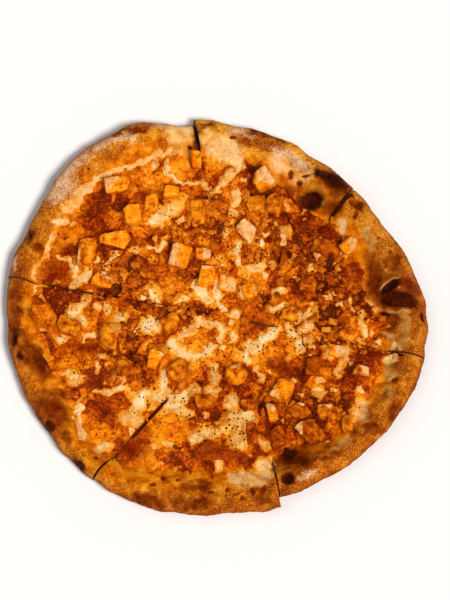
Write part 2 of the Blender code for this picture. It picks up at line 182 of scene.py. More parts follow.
# %% Noise for arrays of points
def scrambled(i, j, seed):
    """A 32-bit number that looks random, for each cell of a grid."""
    mixed = (i * 374761393 + j * 668265263 + seed * 144269504) & 0xFFFFFFFF
    mixed = ((mixed ^ (mixed >> 13)) * 1274126177) & 0xFFFFFFFF
    return mixed ^ (mixed >> 16)


def grain(x, y, size, seed=0):
    """Smooth unevenness from about -1 to 1, with bumps of this size in millimetres."""
    u, v = x / size + 13.7 * seed, y / size - 9.3 * seed
    i, j = np.floor(u).astype(np.int64), np.floor(v).astype(np.int64)
    f, g = u - i, v - j
    total = 0.0
    for a in (0, 1):
        for b in (0, 1):
            turn = (scrambled(i + a, j + b, seed) & 0xFFFF) * (2 * math.pi / 65536)
            p, q = (f if a else 1 - f), (g if b else 1 - g)
            ease = p * p * p * (p * (p * 6 - 15) + 10) * q * q * q * (q * (q * 6 - 15) + 10)
            total = total + ease * (np.cos(turn) * (f - a) + np.sin(turn) * (g - b))
    return 1.7 * total


def clumps(x, y, size, seed):
    """Clumps of about this size: 0 at a clump's edge to 1 well inside it, a value for each clump,
    and its slant, as if each were a flat piece that lies tilted."""
    u = x / size + 0.35 * grain(x, y, size * 0.8, seed)
    v = y / size + 0.35 * grain(y, x, size * 0.8, seed)
    i, j = np.floor(u).astype(np.int64), np.floor(v).astype(np.int64)
    nearest = np.full(np.shape(u), 9.0)
    second = nearest.copy()
    value, slant = np.zeros(np.shape(u)), np.zeros(np.shape(u))
    for a in (-1, 0, 1):
        for b in (-1, 0, 1):
            mixed = scrambled(i + a, j + b, seed)
            du = u - i - a - (mixed & 0x3FF) / 1024
            dv = v - j - b - (mixed >> 10 & 0x3FF) / 1024
            far = np.hypot(du, dv)
            closer = far < nearest
            second = np.where(closer, nearest, np.minimum(second, far))
            own = (mixed >> 20) / 4096
            value = np.where(closer, own, value)
            slant = np.where(closer, du * np.cos(own * 44) + dv * np.sin(own * 44), slant)
            nearest = np.minimum(nearest, far)
    return np.clip((second - nearest) * 2.4, 0, 1), value, slant


def rough(x, y, size, seed=0, octaves=3):
    """Unevenness with finer unevenness on it, each half as large as the one before."""
    total, share = 0.0, 1.0
    for step in range(octaves):
        total = total + share * grain(x, y, size / 2**step, seed + 31 * step)
        share *= 0.55
    return total


def smooth_step(low, high, value):
    t = np.clip((value - low) / (high - low), 0, 1)
    return t * t * (3 - 2 * t)


print("noise at one point:", round(float(grain(np.array([3.0]), np.array([4.0]), 7.0)[0]), 3))

# %% [markdown]
# ## Marks on the pizza
# Sauce, cheese, char and flour lie in patches and streaks. Each one's place is read off the
# picture, right and down in its pixels, and turned into millimetres from the hub.
# A patch is an ellipse and a streak is a thick line. Both are then pushed about by noise, so
# that no drawn outline is left.
# Some of these marks paint light and shade: shadows along the cuts and around the big burst bubble, and a
# few highlights.

# %% From a place in the picture to a place on the pizza
ELEVATION = math.radians(75)
PIXEL_MM = 0.762
PICTURE_WIDTH, PICTURE_HEIGHT = 450, 600
HUB_U, HUB_V = 241, 319
RIM_LIFT = 8.0  # the rim's crown stands this much higher than the topping at the hub


def spot(u, v, lift=0.0):
    """Millimetres from the hub of a point at (u, v) in the picture, lift above the topping."""
    x = (u - HUB_U) * PIXEL_MM
    y = (HUB_V - v) * PIXEL_MM / math.sin(ELEVATION) - lift / math.tan(ELEVATION)
    return x, y


def patch(x, y, mark, lift=0.0, soft=0.5):
    """1 inside an ellipse (u, v, width, height, and a turn in degrees if it has one), 0 outside."""
    u, v, wide, tall, turn = (*mark, 0)[:5]
    cx, cy = spot(u, v, lift)
    a = math.radians(turn)
    along = (x - cx) * math.cos(a) + (y - cy) * math.sin(a)
    across = (y - cy) * math.cos(a) - (x - cx) * math.sin(a)
    far = np.hypot(along / (wide * PIXEL_MM / 2), across / (tall * PIXEL_MM / 2))
    return np.clip((1 + soft - far) / (2 * soft), 0, 1)


def streak(x, y, wide, points, lift=0.0, soft=0.6):
    """1 along a thick line through points of the picture, 0 outside. wide may be an array."""
    nearest = np.full(np.shape(x), 1e9)
    places = [spot(u, v, lift) for u, v in points]
    for (ax, ay), (bx, by) in zip(places, places[1:]):
        length = (bx - ax) ** 2 + (by - ay) ** 2
        t = np.clip(((x - ax) * (bx - ax) + (y - ay) * (by - ay)) / length, 0, 1)
        nearest = np.minimum(nearest, np.hypot(x - ax - t * (bx - ax), y - ay - t * (by - ay)))
    return np.clip((1 + soft - nearest / (wide * PIXEL_MM / 2)) / (2 * soft), 0, 1)


def marked(x, y, patches=(), streaks=(), lift=0.0, waver=1.4, soft=0.5):
    """The strongest of many marks at each point, with wavering edges."""
    px = x + waver * rough(x, y, 6.5, 1)
    py = y + waver * rough(x, y, 6.5, 2)
    swell = 1 + 0.4 * grain(x, y, 8.0, 3)
    found = np.zeros(np.shape(x))
    for mark in patches:
        found = np.maximum(found, patch(px, py, mark, lift, soft))
    for wide, points in streaks:
        found = np.maximum(found, streak(px, py, wide * swell, points, lift))
    return found


middle_x, middle_y = spot(PICTURE_WIDTH / 2, PICTURE_HEIGHT / 2)
print("the middle of the picture, in mm from the hub:", round(middle_x, 1), round(middle_y, 1))

# %% [markdown]
# ## Where the cheese, the sauce and the chopped meat lie
# The cheese melted into cream-white patches and strings. The sauce ran together in dark,
# glossy pools. Between them the sauce is full of finely chopped chicken, which makes it
# granular. Some areas are painted darker, and below the big burst bubble's lip that is painted
# shade. Cheese bridges the cuts in most places, and some stretches stayed open. These lists
# place them all, in the picture's pixels: u, v, width and height for a patch, then its turn in
# degrees if it has one, and a width with its points for a streak.

# %% Marks on the topping
CHEESE = (
    (160, 217, 22, 9, 25), (168, 210, 22, 12, 10), (150, 222, 9, 7), (182, 219, 7, 5),
    (226, 150, 34, 22, -15), (236, 160, 14, 9), (214, 146, 16, 14), (237, 200, 9, 10), (233, 212, 8, 9),
    (243, 179, 5, 5), (236, 192, 7, 6), (225, 233, 6, 9), (238, 246, 7, 11), (182, 299, 11, 5, 15),
    (135, 250, 8, 5), (257, 268, 17, 7, 8), (241, 292, 6, 12, 10), (235, 315, 11, 9),
    (273, 264, 7, 8, 60), (311, 268, 5, 6), (338, 268, 6, 5), (280, 291, 12, 6), (342, 226, 10, 14),
    (251, 345, 8, 12, 90), (262, 342, 20, 11, 35), (334, 352, 17, 9, 20), (345, 350, 8, 12, 80),
    (318, 392, 14, 9), (320, 380, 9, 5), (390, 358, 13, 8, 15), (394, 346, 7, 6), (360, 410, 18, 20),
    (265, 464, 20, 16, 30), (244, 476, 30, 14), (270, 472, 10, 10), (265, 444, 8, 12, 60),
    (82, 320, 9, 13, 70), (62, 338, 13, 7, 15), (121, 316, 12, 12), (150, 326, 17, 17), (103, 356, 9, 7),
    (98, 367, 6, 12), (76, 379, 14, 12), (137, 420, 11, 15, 60), (104, 446, 15, 11), (168, 443, 7, 6, 30),
    (214, 375, 10, 24), (232, 402, 12, 18), (247, 415, 20, 8, -25), (235, 421, 22, 22),
    (238, 438, 20, 18), (205, 414, 7, 6), (213, 390, 14, 10), (219, 463, 9, 12), (229, 286, 12, 13),
    (232, 337, 6, 12), (108, 309, 7, 13), (99, 306, 5, 8), (304, 329, 14, 8), (309, 339, 12, 7),
    (276, 307, 16, 10, 20),
)
CHEESE_STRINGS = (
    (5, ((153, 166), (158, 156), (170, 148))),
    (4, ((166, 160), (167, 172), (176, 180), (190, 183), (203, 181), (211, 192))),
    (3.5, ((149, 245), (157, 250), (165, 243))),
    (3, ((119, 255), (110, 260), (102, 268), (106, 277), (116, 283))),
    (7, ((70, 287), (80, 281), (88, 273))), (4, ((58, 257), (68, 259), (75, 268), (74, 280))),
    (8, ((194, 284), (202, 293), (208, 301))), (5, ((150, 291), (159, 304))),
    (5, ((218, 283), (217, 296), (222, 308))), (6.5, ((243, 164), (231, 173), (219, 186), (212, 192))),
    (8, ((299, 319), (308, 313), (315, 307))), (4.5, ((349, 300), (352, 311))),
    (5, ((361, 312), (363, 324), (365, 336))), (8, ((288, 328), (297, 338), (301, 348))),
    (6, ((248, 341), (247, 362))), (6, ((256, 369), (264, 379))),
    (7, ((346, 350), (343, 363), (337, 373))), (9, ((273, 331), (263, 339), (254, 350))),
    (9, ((222, 428), (210, 432), (192, 437))), (9, ((72, 313), (82, 303), (90, 294))),
    (4, ((84, 338), (95, 333))), (8, ((181, 336), (190, 330), (199, 323))),
    (8, ((171, 342), (180, 351), (192, 357), (204, 354), (211, 346))),
    (6, ((206, 323), (219, 324), (225, 331), (219, 339))), (5, ((96, 391), (111, 392), (125, 386))),
    (8, ((165, 373), (164, 384), (168, 394))), (11, ((158, 396), (172, 397), (184, 396), (196, 389))),
    (10, ((165, 404), (176, 408), (188, 413))), (10, ((146, 393), (139, 402), (134, 412), (126, 418))),
    (5, ((80, 404), (80, 420), (83, 436))),
    (5, ((77, 194), (88, 184), (101, 175), (123, 166), (146, 160), (156, 153))),
)
POOLS = (
    (98, 207, 18, 16), (262, 327, 16, 11), (272, 167, 20, 10), (55, 274, 30, 22), (103, 250, 12, 15),
    (68, 250, 18, 14), (107, 412, 22, 11), (132, 448, 30, 24), (245, 456, 24, 13), (216, 477, 20, 10, 10),
    (360, 268, 26, 38, -10), (308, 231, 12, 10), (278, 366, 26, 12, -10), (350, 374, 16, 10),
    (338, 380, 22, 10), (84, 346, 22, 13), (95, 381, 26, 14, 10), (143, 196, 14, 12), (160, 200, 8, 18),
    (330, 236, 20, 12), (373, 354, 24, 12), (325, 395, 12, 10), (300, 372, 14, 14), (222, 398, 12, 8),
    (270, 427, 7, 24), (250, 166, 14, 12), (281, 182, 10, 22), (262, 159, 22, 7), (289, 187, 10, 8),
    (368, 306, 14, 12),
)
BRIGHT = (
    (170, 430, 42, 32, 25), (106, 432, 26, 16), (212, 168, 14, 14), (58, 331, 20, 16), (178, 166, 22, 16),
    (77, 234, 20, 20), (97, 439, 26, 14), (250, 291, 18, 16), (196, 347, 12, 10), (255, 343, 8, 8),
    (70, 366, 24, 18),
)
MEATY = (
    (124, 268, 60, 54), (172, 240, 50, 38), (125, 352, 46, 58), (255, 255, 34, 16), (320, 270, 46, 60),
    (318, 322, 60, 48), (213, 214, 28, 56), (345, 294, 40, 34), (288, 252, 34, 26), (266, 300, 24, 20),
    (262, 396, 22, 30), (320, 402, 56, 34), (262, 212, 60, 60), (195, 268, 32, 30), (176, 311, 70, 22),
    (370, 345, 40, 28), (374, 308, 30, 26),
)
# Areas of the topping painted darker; beside the big burst bubble this is painted shade below its lip.
DARKER_PATCHES = (
    (372, 300, 44, 66), (106, 300, 70, 44), (162, 480, 40, 24), (310, 274, 76, 112), (376, 300, 44, 60),
    (310, 396, 92, 104), (302, 310, 50, 34), (350, 380, 60, 60), (322, 220, 60, 60), (90, 385, 60, 44),
    (207, 418, 58, 60), (266, 455, 50, 40), (112, 234, 50, 40), (266, 172, 44, 34), (232, 384, 96, 32),
    (52, 300, 44, 40), (130, 466, 34, 18), (44, 336, 30, 26), (126, 346, 36, 34), (196, 466, 60, 50),
    (108, 208, 54, 36),
)
OPEN_CUTS = (
    (10, ((194, 112), (203, 152))), (10, ((352, 190), (322, 226))),
    (10, ((336, 340), (358, 348), (384, 353), (424, 360))), (8, ((253, 323), (272, 328))),
    (10, ((272, 466), (280, 500))), (9, ((94, 480), (113, 456))), (9, ((134, 432), (164, 402))),
    (10, ((4, 277), (35, 282), (62, 290), (116, 294))), (8, ((130, 300), (156, 306), (202, 311))),
)
print("cheese marks:", len(CHEESE) + len(CHEESE_STRINGS), "pools:", len(POOLS))

# %% [markdown]
# ## Where the rim is charred, brown or floury, and where shade and highlights are painted on it
# The rim met the oven's heat unevenly. Blisters burnt black, thin edges went brown, and
# where flour lay the crust stayed pale. On its inner slope there are stretches of cheese.
# Some of the dark marks are painted shade: lines along the cuts, and the shade around and
# under the big burst bubble. A thin pale line down the left ridge and the big bubble's lips
# are painted lighter, partly as highlights.

# %% Marks on the rim
# Burnt spots; some are painted shade: in the cut at the top, beside the cut at the lower right, and under
# the big bubble's lower lip.
CHAR_AND_SHADE = (
    (335, 180, 34, 19, -42), (319, 173, 11, 13), (350, 195, 12, 6, -45), (15, 340, 6, 15),
    (20, 357, 9, 9, -20), (51, 424, 9, 13, 40), (81, 462, 22, 8, -40), (30, 236, 5, 7),
    (423, 318, 3, 14, 15), (386, 312.5, 15, 4, -12), (325, 174, 14, 12), (139, 177, 5, 13, 25),
    (196, 134, 5, 22, 6), (289, 449, 22, 14, 15),
)
# Painted shadows: dark lines along three of the cuts.
CUT_SHADOW_STREAKS = (
    (4, ((349, 196), (338, 207), (331, 216), (325, 223))), (3, ((388, 351), (397, 353.5), (403, 355))),
    (2.5, ((114, 456), (118, 450))),
)
BARE_SLOPE = (
    (311, 196, 50, 42, -25), (290, 182, 28, 28, -15), (397, 293, 56, 38, -10), (371, 299, 18, 12, -35),
    (291, 452, 34, 24, 15),
)
# Brown crust; the marks around and under the big burst bubble, and beside the cut at the lower right, are
# painted shade.
BROWN = (
    (118, 130, 24, 7, 28), (138, 126, 26, 8, 10), (135, 131, 12, 6), (197, 137, 9, 26, 5),
    (206, 124, 14, 6), (216, 132, 12, 9), (233, 137, 12, 9), (262, 132, 26, 7, -15),
    (281, 138, 14, 7, -35), (336, 184, 32, 28, -42), (334, 206, 18, 16, -30), (300, 198, 10, 22),
    (358, 204, 16, 9, -45), (393, 262, 22, 16, -40), (376, 272, 14, 44, 15), (374, 286, 16, 26, 10),
    (386, 314, 32, 10, -15), (388, 324, 22, 12, -10), (404, 309, 28, 14), (396, 412, 22, 15, 45),
    (371, 427, 13, 9), (293, 455, 36, 30, 30), (190, 501, 44, 12), (150, 498, 34, 12, -12),
    (205, 481, 14, 12), (32, 353, 26, 26), (44, 364, 24, 22), (54, 410, 30, 36, 30),
    (68, 391, 24, 15, -35), (68, 437, 10, 12), (15, 312, 13, 56), (37, 247, 12, 9),
    (30, 236, 10, 14, -20), (30, 310, 9, 12), (262, 499, 16, 8), (290, 187, 14, 12),
    (332, 455, 18, 9, 25), (377, 430, 10, 9), (22, 276, 9, 26), (197, 485, 26, 10),
)
SPOTS = (
    (300, 182, 6, 6), (293, 189, 4, 4), (291, 173, 6, 9), (306, 176, 8, 3), (356, 215, 5, 11, -10),
    (352, 203, 7, 6), (379, 238, 3, 3), (391, 252, 5, 4), (394, 380, 8, 6), (390, 355, 5, 4),
    (366, 425, 10, 7), (252, 490, 4, 11, 5), (261, 492, 7, 20, -22), (242, 497, 5, 5),
    (236, 493, 9, 4, 25), (227, 488, 4, 5), (204, 484, 6, 7), (211, 491, 7, 4), (164, 476, 6, 7),
    (154, 483, 8, 5, 20), (178, 478, 4, 4), (290, 455, 30, 16, 10), (31, 309, 6, 5), (37, 247, 7, 6),
    (60, 234, 7, 9), (97, 457, 5, 5), (55, 410, 18, 16, 30), (88, 169, 4, 3), (233, 137, 8, 5),
    (141, 130, 10, 5), (190, 147, 7, 4), (58, 421, 18, 12, 40), (406, 286, 24, 13, -10),
)
FLOUR = (
    (60, 190, 36, 20, 45), (150, 124, 44, 6, 3), (294, 160, 46, 16, -28), (304, 172, 18, 14),
    (427, 345, 5, 26), (243, 130, 30, 9, -10), (306, 474, 22, 8, 25), (14, 262, 8, 18, -20),
)
FLOUR_STREAKS = (
    (11, ((48, 194), (62, 176), (78, 159), (96, 145), (116, 136), (134, 136))),
)
BUTTERY = (
    (179, 134, 22, 34, 10), (210, 136, 18, 16), (226, 139, 20, 12), (282, 165, 20, 12, -20),
    (300, 176, 18, 10, -20), (341, 226, 10, 16, -15), (61, 221, 14, 7), (250, 478, 26, 13),
    (397, 347, 11, 5),
)
# Buttery streaks; the thin line down the left ridge is a painted highlight.
BUTTER_AND_HIGHLIGHT_STREAKS = (
    (8, ((66, 208), (77, 197), (92, 184))),
    (6, ((92, 184), (110, 173), (129, 165), (145, 158), (158, 150))),
    (4.5, ((54, 231), (51, 240), (44, 253))), (3, ((44, 253), (36, 264), (34, 277))),
    (5, ((36, 286), (36, 302))),
)
OILY_STREAKS = (
    (30, ((62, 400), (83, 437), (109, 462), (150, 477), (200, 477), (236, 472))),
    (28, ((34, 288), (36, 330), (46, 370), (60, 400))), (18, ((72, 236), (58, 258), (46, 284))),
    (15, ((336, 214), (354, 234), (366, 254))),
    (14, ((322, 182), (330, 194), (324, 208), (308, 209), (299, 203))),
    (14, ((133, 151), (148, 149), (162, 139))), (8, ((164, 475), (177, 475))),
    (7, ((115, 479), (128, 481))), (8, ((385, 379), (385, 390))),
)
DULL_STREAKS = (
    (12, ((388, 364), (390, 376))), (9, ((387, 390), (389, 398))), (8, ((382, 333), (392, 336))),
    (11, ((404, 334), (402, 344))), (11, ((366, 232), (374, 247))), (7, ((348, 440), (334, 446))),
    (10, ((404, 314), (406, 324), (405, 334))),
)
GOLDEN_STREAKS = (
    (14, ((84, 175), (106, 158), (124, 151))), (13, ((242, 138), (262, 141), (280, 149))),
)
print("rim marks:", len(CHAR_AND_SHADE) + len(BROWN) + len(FLOUR) + len(BUTTERY))

# %% [markdown]
# ## From numbers to meshes
# Each large surface starts as a flat grid, whose points are then moved by arithmetic. A grid's
# own x and y tell each point where it belongs, so we read them back as an array, work out the
# new places and write them in one go. Values such as how cheesy a point is are stored
# on the mesh as attributes, which the materials read.


# %% Helpers for grids, coordinates and attributes
def grid_of(columns, rows):
    """A flat grid whose x and y run from -1 to 1."""
    bm = bmesh.new()
    bmesh.ops.create_grid(bm, x_segments=columns, y_segments=rows, size=1)
    return bm


def coordinates(mesh):
    flat = np.empty(len(mesh.vertices) * 3)
    mesh.vertices.foreach_get("co", flat)
    return flat.reshape(-1, 3)


def set_coordinates(mesh, places):
    mesh.vertices.foreach_set("co", np.ascontiguousarray(places, float).ravel())
    mesh.update()


def set_value(mesh, name, values):
    """Stores one number for each point of the mesh."""
    attribute = mesh.attributes.new(name, "FLOAT", "POINT")
    attribute.data.foreach_set("value", np.ascontiguousarray(values, np.float32))


def in_frame(x, y, z):
    """Points in millimetres from the hub, as metres in the model's frame."""
    return np.stack(((x - MIDDLE[0]) * MM, (y - MIDDLE[1]) * MM, z * MM), axis=1)


def from_hub(places):
    """The x, y and z, in millimetres from the hub, of points in the frame."""
    return places[:, 0] / MM + MIDDLE[0], places[:, 1] / MM + MIDDLE[1], places[:, 2] / MM


def in_scene(name, data):
    """A new object for a mesh, a light or a camera."""
    obj = bpy.data.objects.new(name, data)
    bpy.context.scene.collection.objects.link(obj)
    return obj


def show(mesh, name, material, replaced=()):
    """Puts a finished mesh in the scene, riding on the pizza."""
    obj = in_scene(name, mesh)
    mesh.materials.append(material)
    mesh.shade_smooth()
    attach(obj, "root")
    if replaced:
        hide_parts(*replaced)
    return obj


print("grid helper makes", len(grid_of(4, 3).verts), "points from 4 by 3 cells")

# %% [markdown]
# ## The dough's height at any point
# Under the topping the dough is a flat sheet. Towards its edge it climbs a slope to the
# crown of the rim. The same rule serves the dough itself, the topping that lies on it and the
# crumbs that lie on the topping.


# %% The dough's upper face
def slope_height(height, fall):
    """The inner slope of the rim: fall 0 at the crown, 1 at its foot."""
    return BASE_THICK + (height - BASE_THICK) * (1 + np.cos(math.pi * np.clip(fall, 0, 1))) / 2


def with_skin(x, y, z, lifted=1.0):
    """The upper skin with its blisters and its unevenness."""
    rise = np.clip((z - BASE_THICK) / (RIM_HEIGHT - BASE_THICK), 0, None)
    swell = blister_lift(x, y) + 1.3 * ripple(x, y, 15, 9.0)
    return z + lifted * swell * np.minimum(1.0, 1.6 * rise)


def fall_at(rim, radius):
    reach, width, _ = rim
    return ((reach - radius) / width - CROWN_IN) / (1 - CROWN_IN)


def locate(x, y):
    """Which slice each point is on, and its share of the way across."""
    radius = np.hypot(x, y)
    number = np.zeros(np.shape(x), int)
    share = np.zeros(np.shape(x))
    bearing = np.arctan2(y, x)
    for n in range(SLICE_COUNT):
        start, end = cut_line(n, radius)[0], cut_line(n + 1, radius)[0]
        across = np.mod(bearing - start, 2 * math.pi) / (end - start)
        inside = across < 1
        number[inside] = n
        share[inside] = across[inside]
    return number, share, radius


def rims_at(number, share):
    """rim_at for points on different slices."""
    facts = [np.zeros(np.shape(share)) for _ in range(3)]
    for n in range(SLICE_COUNT):
        on = number == n
        if on.any():
            for fact, value in zip(facts, rim_at(n, share[on])):
                fact[on] = value
    return facts


def dough_height(x, y, rim, radius):
    return with_skin(x, y, slope_height(rim[2], fall_at(rim, radius)))


print("rim height across the first slice, in mm:", rim_at(0, shares[::7])[2].round(1))

# %% [markdown]
# ## The topping's surface
# Sauce and cheese baked together make one bed. Cheese stands up in soft, smooth patches,
# pools of sauce lie low and level, and the chopped meat makes the rest lumpy. We work out how
# much of each there is at a point, then the height from that, so colour and relief agree.


# %% What the topping is at each point, and how high it stands
CLUMP_SIZE = 11.0  # clumps of chopped meat, in millimetres like all that follows
BIT_SIZE = 4.8  # and the single bits in them
CHEESE_RISE = 0.7  # melted cheese stands this much higher than the sauce
POOL_SINK = 0.8  # and a pool of sauce this much lower
CHICKEN_SWELL = 2.0  # the bed rises this much to meet a large piece's sides
EDGE_SINK = 0.25  # where the bed ends, it lies this deep in the dough
BARE_SINK = 4.0  # and this much deeper where the slope stayed bare
LOWEST_SKIN = 4.2
NEARBY = 26  # farther than this from its middle, a piece of chicken doesn't matter


def chicken_outlines():
    """The footprint of each large piece of chicken: its hull's corners, in mm from the hub."""
    found = []
    for name in sorted(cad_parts):
        if name.startswith("chicken"):
            x, y, _ = from_hub(coordinates(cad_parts[name].data))
            flat = [Vector(pair) for pair in zip(x, y)]
            hull = [flat[i] for i in geometry.convex_hull_2d(flat)]
            found.append(np.array([(p.x, p.y) for p in hull]))
    return found


CHICKEN = chicken_outlines()


def beyond_chicken(x, y):
    """How far, in millimetres, each point is outside the nearest large piece of chicken."""
    nearest = np.full(np.shape(x), 50.0)
    for hull in CHICKEN:
        middle = hull.mean(axis=0)
        close = np.flatnonzero(np.hypot(x - middle[0], y - middle[1]) < NEARBY)
        if len(close):
            far = np.full(len(close), -50.0)
            for (ax, ay), (bx, by) in zip(hull, np.roll(hull, -1, axis=0)):
                length = max(math.hypot(bx - ax, by - ay), 1e-6)
                out = ((by - ay) * (x[close] - ax) - (bx - ax) * (y[close] - ay)) / length
                far = np.maximum(far, out)
            nearest[close] = np.minimum(nearest[close], far)
    return nearest


def finish_at(x, y):
    """What each point is, from 0 to 1, and the small relief there in millimetres."""
    cheese = marked(x, y, CHEESE, CHEESE_STRINGS, waver=1.8)
    pool = marked(x, y, POOLS, waver=2.4, soft=0.8)
    bright = marked(x, y, BRIGHT, waver=2.4)
    meaty = marked(x, y, MEATY, waver=4.0)
    darker_patch = marked(x, y, DARKER_PATCHES, waver=7.0)
    bare = marked(x, y, BARE_SLOPE, waver=2.4)
    coarse, kind, slant = clumps(x, y, CLUMP_SIZE, 15)
    small, shade, lean = clumps(x, y, BIT_SIZE, 16)
    bits = smooth_step(0.955, 0.965, shade) * smooth_step(0.2, 0.8, small)
    cheese = np.maximum(cheese, 0.75 * bits * (1 - pool))
    meaty = meaty * (1 - cheese) * (1 - 0.8 * pool)
    plain = (1 - meaty) * (1 - 0.85 * pool) * (1 - 0.6 * cheese)
    plates = np.sqrt(coarse) * (0.5 + 1.1 * kind) + 1.7 * slant * coarse
    grains = np.sqrt(small) * (0.3 + 0.7 * shade) + 0.8 * lean * small
    crags = 0.34 * grain(x, y, 2.8, 12) + 0.2 * grain(x, y, 1.6, 18)
    relief = meaty * (1.5 * plates + 0.6 * grains - 1.4 + crags)
    relief = relief + plain * (0.6 * plates + 0.45 * grains - 0.6 + 0.6 * crags)
    return {
        "cheese": cheese,
        "pool": pool * (1 - cheese),
        "bright": bright * (1 - cheese),
        "meaty": meaty,
        "darker_patch": darker_patch,
        "bare": bare,
        "tone": kind,
        "relief": relief,
        # Painted shade with pooled sauce: a dark ring where the bed meets a large piece of chicken.
        "beside": 1 - smooth_step(0.2, 2.4, np.abs(beyond_chicken(x, y) - 0.3)),
    }


def bed_relief(x, y, finish):
    """The topping's thickness in millimetres, from what lies at each point."""
    bed = LAYER_THICK + LAYER_SWELL * (grain(x, y, 23, 2) + 0.8 * grain(x, y, 11, 3))
    bed = bed + CHEESE_RISE * smooth_step(0.1, 0.9, finish["cheese"]) + finish["relief"]
    bed = bed - finish["pool"] * (POOL_SINK + 0.4 * grain(x, y, 9, 4))
    return bed + CHICKEN_SWELL * (1 - smooth_step(0, 3.4, beyond_chicken(x, y)))


def topping_height(x, y, rim, radius, finish, ends):
    """The topping's upper face: full inside, and sinking into the rim's slope where it ends."""
    inside = smooth_step(ends, ends + 0.5, fall_at(rim, radius))
    bed = np.maximum(bed_relief(x, y, finish), 1.0)
    inside = inside * (1 - finish["bare"])
    dough = dough_height(x, y, rim, radius)
    sunk = np.minimum(EDGE_SINK + BARE_SINK * finish["bare"], dough - LOWEST_SKIN)
    return dough - sunk + (bed + FIT_GAP + EDGE_SINK) * inside


x, y = np.array([-40.0]), np.array([20.0])
number, share, radius = locate(x, y)
height = topping_height(x, y, rims_at(number, share), radius, finish_at(x, y), LAYER_ENDS)
print("height near the middle, in mm:", height.round(2))

# %% [markdown]
# ## Colours and material nodes
# A picture's colours are sRGB, and shaders want linear light, so one function turns a hex
# value into what a shader reads. Another adds a node, sets it and links it, which keeps each
# material down to what it says about the food.


# %% Helpers for materials
def linear(code):
    """A colour such as "#C87828" as linear red, green, blue and alpha."""
    parts = [int(code[i : i + 2], 16) / 255 for i in (1, 3, 5)]
    parts = [c / 12.92 if c <= 0.04045 else ((c + 0.055) / 1.055) ** 2.4 for c in parts]
    return (*parts, 1.0)


def add(tree, kind, inputs=None, **settings):
    """Adds a node with its own settings. An input takes another node's output, or a value."""
    node = tree.nodes.new("ShaderNode" + kind)
    for key, setting in settings.items():
        setattr(node, key, setting)
    for key, value in (inputs or {}).items():
        if isinstance(value, bpy.types.NodeSocket):
            tree.links.new(value, node.inputs[key])
        else:
            node.inputs[key].default_value = value
    return node


def mix(tree, factor, under, over):
    """The colour over laid on under, as strongly as factor says."""
    inputs = {0: factor, 6: under, 7: linear(over) if isinstance(over, str) else over}
    return add(tree, "Mix", inputs, data_type="RGBA").outputs[2]


def ramp(tree, factor, *stops):
    """A colour ramp from (position, hex) stops."""
    node = add(tree, "ValToRGB", {"Fac": factor})
    elements = node.color_ramp.elements
    while len(elements) < len(stops):
        elements.new(0.5)
    for element, (position, code) in zip(elements, stops):
        element.position = position
        element.color = linear(code)
    return node.outputs["Color"]


def spread(tree, factor, codes, width, middle=0.5):
    """A ramp whose colours lie evenly about the middle, as far as width either way."""
    codes = codes.split()
    places = np.linspace(middle - width, middle + width, len(codes))
    return ramp(tree, factor, *zip(places.tolist(), codes))


def blend_of(tree, *parts):
    """The sum of outputs, each times its weight, from (output, weight) pairs."""
    total = 0.0
    for output, weight in parts:
        inputs = {0: output, 1: weight, 2: total}
        total = add(tree, "Math", inputs, operation="MULTIPLY_ADD").outputs[0]
    return total


def fitted(tree, output, low, high, to_low=0.0, to_high=1.0, **settings):
    """An output's stretch from low to high, made to run from to_low to to_high."""
    inputs = {"From Min": low, "From Max": high, "To Min": to_low, "To Max": to_high}
    return add(tree, "MapRange", {"Value": output, **inputs}, **settings).outputs[0]


def stored(tree, name):
    """A value that the mesh stores for each point."""
    return add(tree, "Attribute", attribute_name=name).outputs["Fac"]


def edge(tree, name, texture, low, high, strength):
    """A stored value with its edge broken up by a texture, then made crisp."""
    pushed = blend_of(tree, (stored(tree, name), 1.0), (texture, strength))
    level = strength / 2  # what an even texture adds
    return fitted(tree, pushed, low + level, high + level, interpolation_type="SMOOTHSTEP")


def laid_over(tree, skin, *layers):
    """Lays finishes on a skin, in turn: what edge() takes for each, and then its colour."""
    for *marks, colour in layers:
        skin = mix(tree, edge(tree, *marks), skin, colour)
    return skin


def noise_of(tree, size_mm, detail=3.0, roughness=0.55, vector=None):
    """Noise whose bumps are this many millimetres, on the model's own coordinates."""
    if vector is None:
        vector = add(tree, "TexCoord").outputs["Object"]
    inputs = {"Scale": 1 / (size_mm * MM), "Detail": detail, "Roughness": roughness}
    return add(tree, "TexNoise", {"Vector": vector, **inputs}).outputs["Fac"]


def fibres_of(tree, size_mm, stretch):
    """Noise drawn out along a bearing in radians that the mesh stores as "fibre"."""
    inputs = {"Vector": add(tree, "TexCoord").outputs["Object"], "Angle": stored(tree, "fibre")}
    spun = add(tree, "VectorRotate", inputs, rotation_type="Z_AXIS")
    drawn = add(tree, "Mapping", {"Vector": spun.outputs[0], "Scale": (1 / stretch, 1, 1)})
    return noise_of(tree, size_mm, 3.0, 0.6, drawn.outputs[0])


def material_with(name, constants):
    """A new material, its node tree and its shader, whose sockets take the constants."""
    material = bpy.data.materials.new(name)
    material.use_nodes = True
    shader = material.node_tree.nodes["Principled BSDF"]
    for socket, value in constants.items():
        shader.inputs[socket].default_value = value
    return material, material.node_tree, shader


def finish_shader(tree, shader, colour, roughness=None, *bumps):
    """Links the colour, the roughness and bumps: (height, strength, depth in mm) for each."""
    tree.links.new(colour, shader.inputs["Base Color"])
    if roughness is not None:
        tree.links.new(roughness, shader.inputs["Roughness"])
    normal = shader.inputs["Normal"]
    for height, strength, depth in reversed(bumps):
        bump = add(tree, "Bump", {"Height": height, "Strength": strength, "Distance": depth * MM})
        tree.links.new(bump.outputs[0], normal)
        normal = bump.inputs["Normal"]


print("linear of a crust brown:", [round(c, 3) for c in linear("#C87828")])

# %% [markdown]
# ## The crust: hand-stretched dough, baked on stone
# Baked dough is matt and dry. Its skin is golden where it browned, pale where raw flour lies
# on it, dark brown over blisters and black where they burnt. The flour and the skin's own pores
# make a fine speckle of about a millimetre, which is what makes it look like bread.


